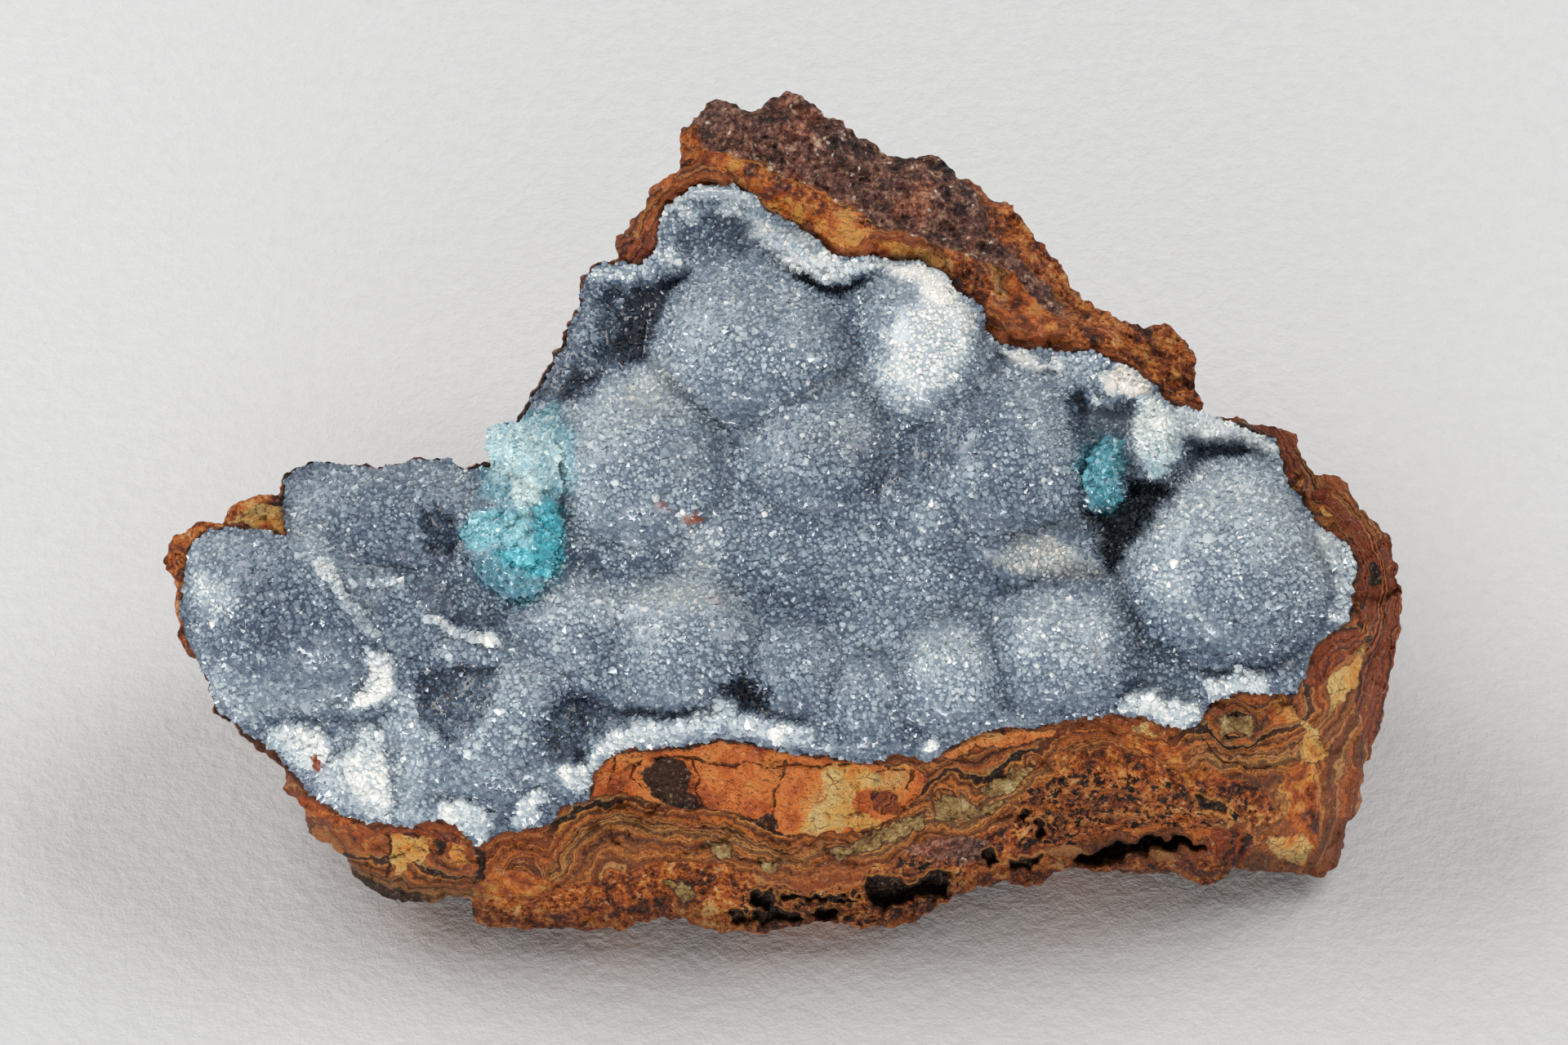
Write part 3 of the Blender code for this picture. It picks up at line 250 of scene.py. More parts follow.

# Paler and darker parts of the crust as (shade, softness, outline): some are its own white, pale and grey
# patches, some are painted shade in hollows, recesses and the valleys between domes, and some are painted
# light on dome sides that face the lamps
SHADES = [
    (0.25, 0.4, [(9.5, 32.6), (14, 32.4), (18, 31.6), (21.6, 29.6), (20.6, 28.6), (17, 30), (12, 31)]),
    (0.1, 1, [(3, 21), (9, 21.5), (13, 19), (15, 14), (12, 14), (8, 18), (3, 18.5)]),
    (-0.1, 1.2, [(15, 13), (21, 13), (22, 7), (17, 7)]), (-0.08, 1, [(10, 6), (17, 4), (16, -1), (11, 1)]),
    (-0.12, 0.6, [(34.6, -1), (38, 0), (40, -5), (38.6, -7.6), (35, -5.6)]),
    (0.1, 0.8, [(-27, -25), (-22, -25), (-22, -30), (-27, -31)]),
    (0.1, 1, [(-50, -13), (-46, -13), (-46, -18), (-49, -18)]),
    (0.08, 1, [(-46, 8), (-38, 7.6), (-38, 5), (-46, 5)]),
    (0.15, 0.8, [(-73.8, -1), (-71, 0), (-71, -9), (-73.4, -9)]),
    (-0.08, 1.2, [(1, -6), (6, -5), (7, -10), (3, -11)]),
    (-0.07, 2, [(-6, -14), (6, -14), (8, -21), (-4, -21)]),
    (-0.07, 1.5, [(23, 14), (29, 14), (31, 4), (30, -4), (25, -5), (24, 4)]),
    (0.08, 1.5, [(-18, 20), (-10, 18), (-6, 12), (-10, 11), (-18, 15)]),
    (0.08, 1, [(-41, 6), (-37, 6), (-38, 0), (-41, -2)]),
    (-0.07, 2, [(-56, 5), (-44, 6), (-44, -1), (-54, -1)]),
    (0.14, 1, [(11.5, 19), (14, 19.5), (18, 16), (19, 13.5), (15, 12.5), (12, 15)]),
    (0.12, 1.2, [(-27, 8), (-23, 7), (-22, 0), (-25, -3), (-27, 2)]),
    (0.07, 2.5, [(-22, -4), (-18, 2), (-12, 8), (-8, 4), (-6, -2), (-11, -9), (-17, -17), (-22, -14)]),
    (0.1, 1.5, [(-42, -6), (-38, -6), (-35, -10), (-39, -11)]),
    (0.12, 1, [(-30, -30), (-27, -30), (-26, -34), (-30, -34)]),
    (0.11, 2, [(-70, -18), (-62, -18), (-54, -14), (-46, -20), (-42, -28), (-39, -38), (-48, -37),
     (-60, -27), (-68, -24)]),
    (0.26, 0.7, [(-6, 38.2), (-2.6, 37.8), (-1.6, 35.6), (-4.4, 35)]),
    (-0.1, 0.8, [(41, -17), (46, -17), (48, -20.6), (41, -20.8)]),
    (0.18, 1.2, [(44, -6), (49, -6), (50, -10), (46, -10)]),
    (0.1, 1.5, [(64, -3), (66, -4), (66, -10), (63, -10)]),
    (0.08, 2, [(22, -22), (32, -24), (34, -26), (24, -27)]),
    (0.08, 2, [(-20, 24), (-12, 21), (-12, 14), (-18, 16)]),
    (-0.07, 4, [(-76, -6), (-62, 10), (-40, 10), (-36, -4), (-24, -12), (-22, -26), (-34, -36), (-50, -30),
     (-66, -26)]),
    (0.14, 0.6, [(-54, -30), (-49, -28.4), (-48.3, -31.8), (-48, -36), (-51.5, -35), (-53, -32.6)]),
    (0.12, 0.4, [(-48.9, -24.4), (-46, -22.6), (-44.4, -24), (-44, -30), (-45, -36), (-47.7, -36.5),
     (-48, -31.6), (-48.9, -28)]),
    (0.2, 0.3, [(-48.8, -21), (-47, -20.4), (-45.6, -20.8), (-45.2, -22.6), (-47, -22.6), (-49, -22.8)]),
    (0.32, 0.35, [(-42.2, -34.4), (-39.2, -33.8), (-36.8, -34.8), (-35.2, -36.8), (-37.4, -39.4),
     (-40, -37.6), (-42, -36.4)]),
    (0.5, 0.25, [(17.4, -26.6), (18.6, -26.2), (19.4, -27.4), (18.4, -28.2), (17.4, -27.8)]),
    (0.4, 0.25, [(4.8, -27.6), (6, -27), (6.2, -27.8), (5, -28)]),
    (0.33, 1.3, [(17.4, 29), (20, 28.4), (22.8, 26.6), (23.4, 23), (22.2, 18.8), (19.4, 15.8), (16.6, 15.4),
     (13.8, 17), (12.4, 20.4), (13.2, 24.4), (15.6, 27)]),
    (0.34, 0.8, [(11, 31.8), (16, 31.6), (20, 29.6), (22.4, 27.6), (18, 27.4), (15.6, 29.6)]),
    (0.2, 0.6, [(-3.8, 36.8), (-1.6, 37.4), (2.6, 35.8), (5, 33.6), (1, 32), (-2, 33), (-3, 35)]),
    (0.34, 0.3, [(-13, 38.4), (-11, 38.6), (-10.4, 37.2), (-12, 36.6)]),
    (0.36, 0.3, [(-8, 38.8), (-5.6, 39), (-5.8, 37.4), (-7.4, 37.2)]),
    (0.32, 0.35, [(-16, 33.6), (-14, 33.8), (-12.8, 32), (-14.6, 31.4), (-16, 32)]),
    (0.3, 0.5, [(-15, 40), (-10, 41.4), (-4, 41), (-2.6, 38.4), (-5, 38.6), (-11, 40), (-14, 37),
     (-15.4, 36)]),
    (0.24, 0.4, [(-24, 31.6), (-20, 31.2), (-16.4, 31.4), (-16, 30.2), (-20, 29.6), (-24, 29.8)]),
    (0.16, 0.5, [(32, 20), (37, 20.6), (38.8, 20.4), (38, 17.4), (36, 16.6), (33, 17.6)]),
    (0.22, 1, GREY_RIDGE),
    (0.32, 1.2, [(-71.8, -7), (-70, -6.2), (-68.4, -7.2), (-66.8, -9), (-67.4, -11), (-70, -11.8),
     (-71.6, -10)]),
    (0.1, 1.2, [(-73.6, -8), (-72.6, -3), (-69, -1), (-66, -1.4), (-68, -4), (-71, -5.6), (-71.6, -12),
     (-69.6, -18), (-66, -24), (-71, -19)]),
    (-0.08, 2, [(-67, -3), (-62, -3.4), (-58, -8), (-58, -14), (-64, -16), (-66.4, -10)]),
    (0.14, 1, [(-60.6, 3), (-57, 0), (-55, -4.6), (-58, -4.4), (-62.6, -1.4), (-60.6, -0.6)]),
    (0.04, 1, [(-60, 5), (-57, 7.4), (-50, 6.6), (-44, 7.6), (-39, 6.4), (-44, 4.8), (-52, 4.6),
     (-57, 3.6)]),
    (0.14, 1.4, [(-71, -19), (-66, -19.6), (-60, -20.6), (-54, -20), (-51, -22), (-54, -23), (-60, -23.4),
     (-66, -24.6), (-69, -23)]),
    (0.1, 0.8, [(-43.6, -12.4), (-40.6, -14), (-36.6, -15), (-33, -14.6), (-34, -17), (-38, -16.4),
     (-43, -16.6)]),
    (0.12, 1.2, [(-31.6, -12.6), (-30, -9.8), (-27.6, -8.4), (-24, -7.4), (-20, -8.2), (-16, -7.8),
     (-9, -7.1), (-7.8, -8.6), (-6, -10), (-8, -10.6), (-14, -11), (-20, -11.6), (-26, -13)]),
    (0.16, 1.2, [(-29, -14), (-24.6, -13.6), (-23.6, -18), (-25, -21), (-28, -20.4), (-29.4, -17)]),
    (0.12, 1.2, [(-33, -15), (-29.5, -16), (-30, -21), (-31.5, -26), (-34, -31), (-38, -33.5), (-42, -33),
     (-39, -27), (-36, -21)]),
    (0.16, 1, [(-12.6, -0.6), (-9, 0.4), (-7.8, -2), (-8, -6.6), (-11.6, -6.6), (-12.6, -3)]),
    (0.08, 3, [(46, 2), (52, 7), (58, 7), (63, 2), (64, -3), (60, -5), (50, -4), (44, -3)]),
    (0.1, 2, [(30, -9), (36, -9), (40, -12), (40, -16), (35, -18), (29, -16)]),
    (0.1, 1.6, [(17, -13), (22, -12.6), (25, -16), (24, -21), (19, -22), (16, -18)]),
    (0.1, 2, [(-25, 16), (-17, 18.6), (-14, 14), (-18, 8), (-25, 8)]),
    (0.34, 0.4, [(-33.6, 4.8), (-31.6, 5.2), (-29.6, 4.2), (-30.6, 2), (-33, 2.2)]),
    (0.16, 0.5, [(-19.8, -1.4), (-17.4, -1.4), (-16.6, -4), (-19.2, -4.2)]),
    (0.1, 0.9, [(16, 3.2), (18.4, 3.4), (20, 0), (18, -2.4), (15.6, 0)]),
    (0.4, 0.2, [(-13.2, 0.8), (-12.2, 1.2), (-10.4, 0.6), (-11, -0.2), (-12.6, -0.2)]),
    (0.34, 0.2, [(-18.4, -12.8), (-17.4, -13), (-16.8, -13.8), (-17.8, -14.2)]),
    (0.15, 0.5, [(-38.6, 1), (-35, 1.6), (-32, 2), (-30.6, 0.6), (-30.6, -2.4), (-33, -3.8), (-38.6, -3.4),
     (-39.4, -1.6)]),
    (0.25, 0.6, [(-36.4, 11.8), (-32, 12.6), (-28, 13.4), (-26.6, 9), (-27, 4), (-31, 4.6), (-35.8, 5),
     (-36.8, 8.6)]),
    (-0.14, 0.7, [(-24, 29.5), (-19, 29), (-16, 30.6), (-12, 30.6), (-11.6, 29.2), (-14, 27), (-15.8, 23.6),
     (-16.6, 20), (-18, 18.9), (-21, 18.6), (-23, 17.6), (-25, 15.4), (-28, 15.2), (-30.6, 15.6),
     (-28.5, 19), (-26.6, 22), (-26.8, 23.5), (-25, 26.8)]),
    (-0.26, 0.5, [(-27.4, 15.4), (-25.6, 19), (-23, 18.6), (-22.8, 16.4), (-24.4, 14.8)]),
    (-0.1, 1.2, [(-30, 15.4), (-26, 22), (-24, 21), (-24.6, 18), (-26, 15)]),
    (-0.3, 0.7, [(-19, 28.6), (-13, 29.4), (-14.6, 26.6), (-16, 23.6), (-16.8, 20.2), (-19.6, 19),
     (-21, 22), (-20, 26)]),
    (-0.12, 0.8, [(-13, 37.4), (-9.5, 38.2), (-5.6, 37.8), (-4.4, 36), (-5, 33.6), (-7, 32.4), (-12, 32.2),
     (-13.6, 34)]),
    (-0.08, 0.6, [(6.8, 27.4), (8.4, 27.6), (8.6, 22), (7.8, 18), (6.6, 17), (7, 22)]),
    (-0.2, 0.4, [(37.2, 1.4), (40, 1.6), (42, 3.2), (42.4, 5.4), (41, 6.2), (43.6, 5.6), (46.8, 4.4),
     (47.8, 3.8), (46, 0.4), (44.6, -1), (42.6, -2.6), (41.3, -5), (40.6, -6.6), (39.4, -6), (39, -2.5),
     (37.8, -0.6)]),
    (-0.18, 0.4, [(34.6, 15), (36.4, 16.4), (37.4, 13.6), (36.4, 11), (35.6, 9.2), (35.2, 11.5)]),
    (0.12, 0.4, [(38, 16), (42, 15.4), (43.4, 11), (44, 6.4), (42.2, 7.4), (41.4, 11), (38, 11),
     (37.4, 13.6)]),
    (-0.1, 0.6, TEAL_RIGHT),
    (-0.12, 1.4, [(13, 2.6), (16, 3.6), (21, 7), (25, 11), (28, 17.6), (24, 16.6), (20, 12.4), (15, 8),
     (12.4, 5)]),
    (-0.1, 1.2, [(19, -4.4), (24, -3.6), (28, -2), (27, -5), (30, -7.4), (27, -9.6), (23, -8.4),
     (20, -6.6)]),
    (-0.14, 0.6, [(15, -25), (17, -26), (16.6, -28), (14.6, -27.6)]),
    (-0.12, 1.2, [(-8.5, -2.6), (-4, -4.6), (0, -8), (2, -12), (-2.6, -13), (-5, -9.4), (-8, -7.6)]),
    (-0.08, 0.8, [(-31, 2.2), (-28.6, 3), (-27, 1.4), (-26.6, -4), (-27.6, -7), (-31, -6.4), (-30.6, -1)]),
    (0.02, 0.4, [(44.2, 6.2), (48, 5), (50, 8.2), (52.2, 7.2), (49.5, 5.5), (47.6, 3.8)]),
    (-0.2, 0.3, [(51, 9.6), (52.6, 9.6), (54.6, 9.2), (57, 8.8), (58.6, 8.2), (56, 8), (53.4, 8),
     (51.6, 7.4), (50.6, 8.4)]),
    (-0.1, 0.5, [(-26.4, -15.6), (-25.6, -15.6), (-25.2, -20), (-26.4, -20.6)]),
    (-0.12, 1.2, [(-8, -21), (-2, -20), (2, -21.6), (2.6, -24), (-2, -24.4), (-5, -23.8), (-8, -22.4)]),
    (-0.08, 0.8, [(-46.4, -8.8), (-44.6, -5.6), (-41.6, -5), (-42, -10.6), (-44.4, -11)]),
    (-0.08, 0.8, [(-39, -4.4), (-37, -4.4), (-35.6, -8), (-33, -10.6), (-35, -13.4), (-40, -13.2),
     (-43.8, -10.6), (-42, -8)]),
    (-0.14, 0.8, [(-26.5, -3), (-20.5, -4), (-13, -4), (-12.4, -6.4), (-19.6, -7.4), (-26.6, -5.6)]),
    (-0.02, 0.7, [(25.2, -13), (27, -14), (27.4, -18), (28.4, -22), (26.6, -22.4), (25.4, -18)]),
    (-0.1, 1.4, [(45, -13.5), (52, -15.5), (60, -16), (64, -14.5), (63.4, -18.5), (60, -18.6), (52, -17.4),
     (46, -16.4)]),
    (-0.1, 1, [(-2, -8), (6, -8.6), (10, -11.4), (4, -12.4), (-1, -10.6)]),
    (-0.12, 1, [(8.6, 10), (12, 9.4), (15.6, 11), (14.6, 5), (10, 2.6), (5, 3), (9, 5)]),
    (-0.12, 0.6, [(28, -8.6), (39, -8.6), (39.6, -6.8), (30, -6.9)]),
    (-0.16, 0.4, [(-64.6, -24.6), (-58.6, -24), (-50, -23.6), (-49.4, -24.6), (-55, -25.6), (-62, -24.6),
     (-65, -26)]),
    (-0.08, 0.6, TEAL_FOOT),
]

# Warm grey parts as (share, softness, outline)
WARMTHS = [
    (0.4, 0.8, MINT_LOBE), (0.9, 1, GREY_RIDGE),
    (0.3, 0.4, [(-45, -10.2), (-41.8, -11.8), (-38, -13.2), (-34.6, -14.6), (-38.6, -14.2),
     (-42.2, -12.6)]),
    (0.35, 0.5, [(-57.4, -4.8), (-55, -5.4), (-51, -11.8), (-49.6, -14.4), (-52.4, -11.6), (-56.2, -6.6)]),
    (0.6, 0.5, PALE_KNOB),
    (0.8, 1, [(37.2, 1.4), (40, 1.6), (43.6, 5.6), (47.8, 3.8), (46, 0.4), (42.6, -2.6), (40.6, -6.6),
     (38, -3)]),
    (0.5, 1.5, [(-14, -7), (-6, -8), (-5, -11), (-14, -10), (-24, -9)]),
    (0.6, 0.4, [(64.8, -1), (66.6, -3.6), (67.4, -7), (66.6, -10), (65.8, -6), (64.4, -3)]),
    (0.4, 2, [(4, 13), (10, 12), (12, 9), (8, 7), (2, 9)]),
    (0.4, 1.5, [(-20, 17), (-12, 17), (-12, 13), (-20, 13)]),
]

# Teal parts, the same way
TEAL = [
    (0.94, 0.7, [(-31, 2.2), (-28.6, 3), (-27, 1.4), (-26.6, -4), (-27.6, -7), (-31, -6.4), (-34.6, -5.4),
     (-36, -4), (-33, -3.6), (-31.4, -2.8), (-30.4, -1)]),
    (0.62, 0.6, [(-39, 1.2), (-35, 1.8), (-32, 2.2), (-30.6, 0.6), (-30.6, -2.4), (-33, -3.8),
     (-38.6, -3.4), (-39.8, -1.6)]),
    (0.4, 0.9, TEAL_FOOT),
    (0.36, 0.8, [(-36.8, 12.4), (-32, 13), (-28, 15), (-25.4, 10), (-26, 3), (-31, 2), (-37.8, 3),
     (-37, 8.6)]),
    (0.36, 1.2, [(-30.6, 12.4), (-28, 13), (-26.8, 9), (-27.4, 5), (-29.6, 6)]), (0.62, 0.6, TEAL_RIGHT),
    (0.16, 0.5, MINT_LOBE),
]

# Rust stains, the same way
RUST = [
    (1, 0.2, [(-57.8, -28.6), (-57, -28.6), (-56.9, -30), (-57.4, -30.4), (-58, -29.6)]),
    (0.9, 0.15, [(-12.2, 0.2), (-11.2, 0.6), (-10.9, 1.8), (-10.4, 1.2), (-9.2, 1.2), (-9.4, 0.5),
     (-10.6, 0.1), (-11.4, -0.4)]),
    (0.8, 0.15, [(-15.6, 2.9), (-15, 2), (-14.2, 1.6), (-14.8, 2.4)]),
    (0.4, 0.3, [(38, -16), (38.6, -15.6), (38.4, -17)]), (0.3, 0.5, [(-9.4, -9), (-8, -9.2), (-7.4, -11)]),
]

# Cavities in the broken limonite as (depth, outline); their colour is also painted near black, as painted
# shade in them
CAVITIES = [
    (4.5, [(35.8, -41.6), (37.1, -40.5), (40.8, -39.3), (44.5, -38.7), (47.8, -38.3), (49.9, -39.1),
     (50.7, -39.9), (49.1, -39.6), (45.8, -39.9), (43.3, -40.5), (40.8, -41.2), (38.3, -42),
     (36.7, -42.1)]),
    (3.5, [(10, -43.8), (12.1, -42.9), (13.7, -43.6), (15.4, -44.2), (17.4, -43.8), (17.9, -42.7),
     (19.9, -42.7), (20.7, -43.8), (19.5, -45), (17.9, -45.6), (15.4, -46.3), (13.3, -46.6), (11.2, -46.7),
     (9.6, -45.4)]),
    (3, [(-4.4, -45.4), (-3.2, -44.8), (-1.3, -45.4), (-1, -46.4), (-2, -47.4), (-3.8, -46.9)]),
    (1.4, [(-4, -47.8), (-1, -47.2), (1.8, -47.6), (2.6, -48.6), (-1.4, -49), (-4.4, -48.8)]),
    (2.5, [(3.6, -47.8), (4.6, -47.2), (6.4, -47.1), (7.2, -47.6), (6.4, -48.4), (4.6, -48.8)]),
    (2.5, [(30.7, -37), (31.2, -36.4), (31.9, -37), (31.8, -38.4), (31.2, -39), (30.7, -38.2)]),
    (2.5, [(24.2, -40), (25, -39.6), (25.8, -40.6), (26.2, -41.8), (25.2, -42.2), (24.4, -41.2)]),
    (1.8, [(29.1, -35.8), (29.8, -35), (30.5, -35), (30.3, -35.8), (29.5, -36.3)]),
    (1.6, [(27.2, -41.2), (29, -40.8), (32.4, -41), (32, -41.6), (29.4, -41.9), (27.8, -42.2)]),
    (1.2, [(-0.6, -45.6), (2.4, -45.9), (5.6, -45.7), (9.6, -46), (9.4, -46.4), (5, -46.3), (1.6, -46.5)]),
    (1.2, [(-7.4, -47.6), (-5.4, -47), (-4.4, -48.2), (-5.6, -49.2), (-7, -48.8)]),
]

# Ledges and grooves along the broken layers as (half width, rise, line of points)
LEDGES = [
    (1.3, -0.8, [(-24, -33.5), (-16, -35), (-6, -37), (0, -39), (8, -38.6), (15, -35.5), (20, -31.2),
     (26, -32), (35, -26.8)]),
    (2.3, 1.3, [(-37, -43.5), (-28, -41), (-18, -38.5), (-6, -40.5), (4, -42.2), (14, -41), (22, -38.5)]),
    (2.4, 1.6, [(34, -31), (44, -32.5), (52, -35), (60, -38.5), (66, -40)]),
    (1.4, 1.2, [(38, -42.6), (46, -41), (54, -42.6)]),
    (1.8, 1.2, [(-19, 34), (-14, 42), (-6, 43.5), (2, 39.5), (10, 35.5), (21, 33), (27, 25.5), (40, 22.5)]),
    (2.2, 1.5, [(-8, 48.5), (2, 48.5), (12, 43), (22, 39.5), (29, 32.5)]),
]

# Outlines of the two chrysocolla growths, and how far they stand out
LEFT_GROWTH = [
    (-31.6, 12), (-34, 12.1), (-36, 11.4), (-36.3, 9.4), (-35.6, 7), (-36.2, 5.2), (-37.5, 3.1), (-38.4, 1),
    (-39.3, -1.4), (-38.6, -4.2), (-36.6, -7.2), (-33.4, -9.5), (-30.4, -8.6), (-28.4, -6.2), (-27.4, -2.6),
    (-27.4, 1.4), (-27.2, 5.4), (-27.4, 8.6), (-29, 11),
]
RIGHT_GROWTH = [
    (41.3, 10.4), (38.8, 10.2), (37.4, 8.2), (36.6, 5.4), (36.9, 2.4), (38.6, 1.2), (40.8, 1.8), (42, 4.2),
    (41.7, 7.4),
]
LEFT_RISE = 5.2
RIGHT_RISE = 2.6

# The flat base, in drawing units of the table's plane
BASE_CENTRE = (2, 3)
BASE_RADII = (45, 27)
BASE_LOBES = 0.05
BASE_STEPS = 72

# Angles from the outline round to the base, in degrees
BACK_SWINGS = (3, 7, 11, *range(15, 91, 5))

# The layers of the limonite, numbered outwards from the crust, as (number, line of points)
LAYER_LINES = [
    (0, [(-57, -34.5), (-50, -37.2), (-44, -37.4), (-37.5, -40), (-34, -38.2), (-29.5, -37.6), (-27, -35),
     (-24, -34), (-22.8, -30), (-19, -27.8), (-12, -27.3), (-5, -27), (3, -28.4), (11, -29.2), (18, -29.2),
     (24, -25.9), (30, -25), (38, -24), (44, -24), (50, -25.4), (54, -21.5), (62, -21), (64.5, -16),
     (69.4, -11), (70, -6), (65.5, -0.5), (61.5, 6), (59, 11), (51, 13.8), (45.5, 17), (39, 20.2),
     (30, 21.4), (24.5, 25), (18, 31.5), (9, 32.8), (3, 35.8), (-3, 39.5), (-9, 41.4), (-14, 38.6),
     (-15.8, 33)]),
    (8, [(-36.5, -43.5), (-34, -41.4), (-31, -41), (-29, -42), (-27, -38.6), (-24.5, -36.2), (-21.5, -34.6),
     (-19, -34), (-16.5, -35), (-13.3, -35.2), (-9.8, -35.7), (-6.6, -36.5), (-4, -37.1), (-1.5, -37.9),
     (0.4, -39), (2.3, -38.7), (4.9, -38.9), (7.4, -39.2), (10, -38.4), (12.5, -37.1), (15.4, -35.7),
     (16.8, -33.8), (17.6, -31.8), (19.2, -30.2), (22.6, -31.5), (24.5, -32.2), (26.3, -30.7), (28, -28.9),
     (31.4, -28.2), (34.6, -26.4), (38, -25.4), (42, -26), (46, -27.2), (50.5, -27.6)]),
    (12, [(-22, -37.5), (-14, -38.2), (-6, -39.4), (0, -41.4), (5, -42), (10, -41.2), (16, -38.8),
     (22, -37.4), (27.5, -34.4), (32, -31.2), (35.4, -29.4), (39.4, -27.6), (43, -29), (47, -30.5)]),
    (16, [(-28, -46), (-20, -43), (-10, -42.6), (0, -44), (8, -44.2), (15, -42), (22, -40), (30, -36.6),
     (37, -36), (45, -35), (54, -34)]),
    (20, [(-30, -50), (-15, -49.5), (0, -50), (15, -49), (25, -45), (35, -43), (48, -44)]),
    (14, [(57, -42.5), (62, -41), (63.5, -36), (64.5, -31), (66, -27), (69.2, -22)]),
    (18, [(68, -41), (69.5, -36), (70.2, -31), (71.5, -25), (73, -18), (74.4, -10), (74, -4)]),
    (8, [(-52, -41), (-46, -42.8), (-41, -43.2), (69.3, -15.5), (71.6, -11), (72, -5), (68.6, 0.5),
     (64, 6.4), (60, 12), (50.4, 17.6), (40, 22.4), (33, 24.4)]),
    (5, [(-20.5, 33), (-17.4, 38), (-13.5, 42), (-8, 43.6), (-3.6, 42), (1.6, 39.2), (6.5, 35.6),
     (12, 34.6)]),
    (14, [(-12, 46), (-4, 47.5), (4, 45), (12, 41), (20, 37.4), (27, 32), (32, 27.6), (42, 23.4)]),
    (20, [(-9, 51.5), (1, 52.4), (9, 47.5), (19, 44), (28, 38), (34, 31), (47.5, 23)]),
]

# Colours of the layers as (number, colour)
LAYER_COLOURS = [
    (0, (40, 22, 16)), (0.5, (56, 28, 18)), (0.8, (176, 80, 34)), (1.7, (206, 102, 44)), (2, (60, 30, 18)),
    (2.5, (222, 122, 50)), (3.6, (178, 92, 40)), (4, (64, 34, 20)), (4.5, (240, 152, 76)),
    (5.3, (190, 100, 42)), (5.8, (48, 26, 16)), (6.2, (156, 82, 36)), (7, (224, 128, 58)),
    (7.6, (50, 26, 16)), (8.4, (34, 20, 14)), (8.7, (252, 172, 92)), (9, (232, 140, 64)),
    (9.3, (92, 52, 30)), (9.7, (232, 132, 56)), (10.4, (250, 166, 84)), (10.7, (88, 48, 28)),
    (11.1, (186, 108, 50)), (11.8, (236, 172, 98)), (12.2, (100, 56, 32)), (12.7, (246, 162, 80)),
    (13.4, (184, 100, 44)), (13.8, (106, 60, 34)), (14.8, (222, 130, 54)), (16, (126, 66, 32)),
    (17.5, (212, 118, 48)), (19, (104, 54, 28)), (20, (176, 98, 44)),
]

# Rounded lumps that the layers wrap as (u, v, radius)
NODULES = [
    (-32, -44.5, 6), (-21, -43.5, 8.6), (-9, -43.6, 5), (6, -45, 5), (18.6, -41, 4.6), (37, -31, 4.4),
    (52, -31, 4), (-1.5, 43, 4), (7, 39.5, 4.4), (28.6, 29.6, 6), (-47, -44.5, 4), (66, 3.4, 3.4),
    (70.5, -19.5, 4), (-70.4, -2.4, 3.4), (61, -26.6, 3.6), (54.6, -39.6, 3.4),
]

# Banded eyes as (u, v, radius)
EYES = [(55.4, -24.8, 2.9), (19.9, -34.6, 1.7), (12.8, -31, 2), (-32, -43.6, 2.6), (30.5, -29.4, 1.6)]

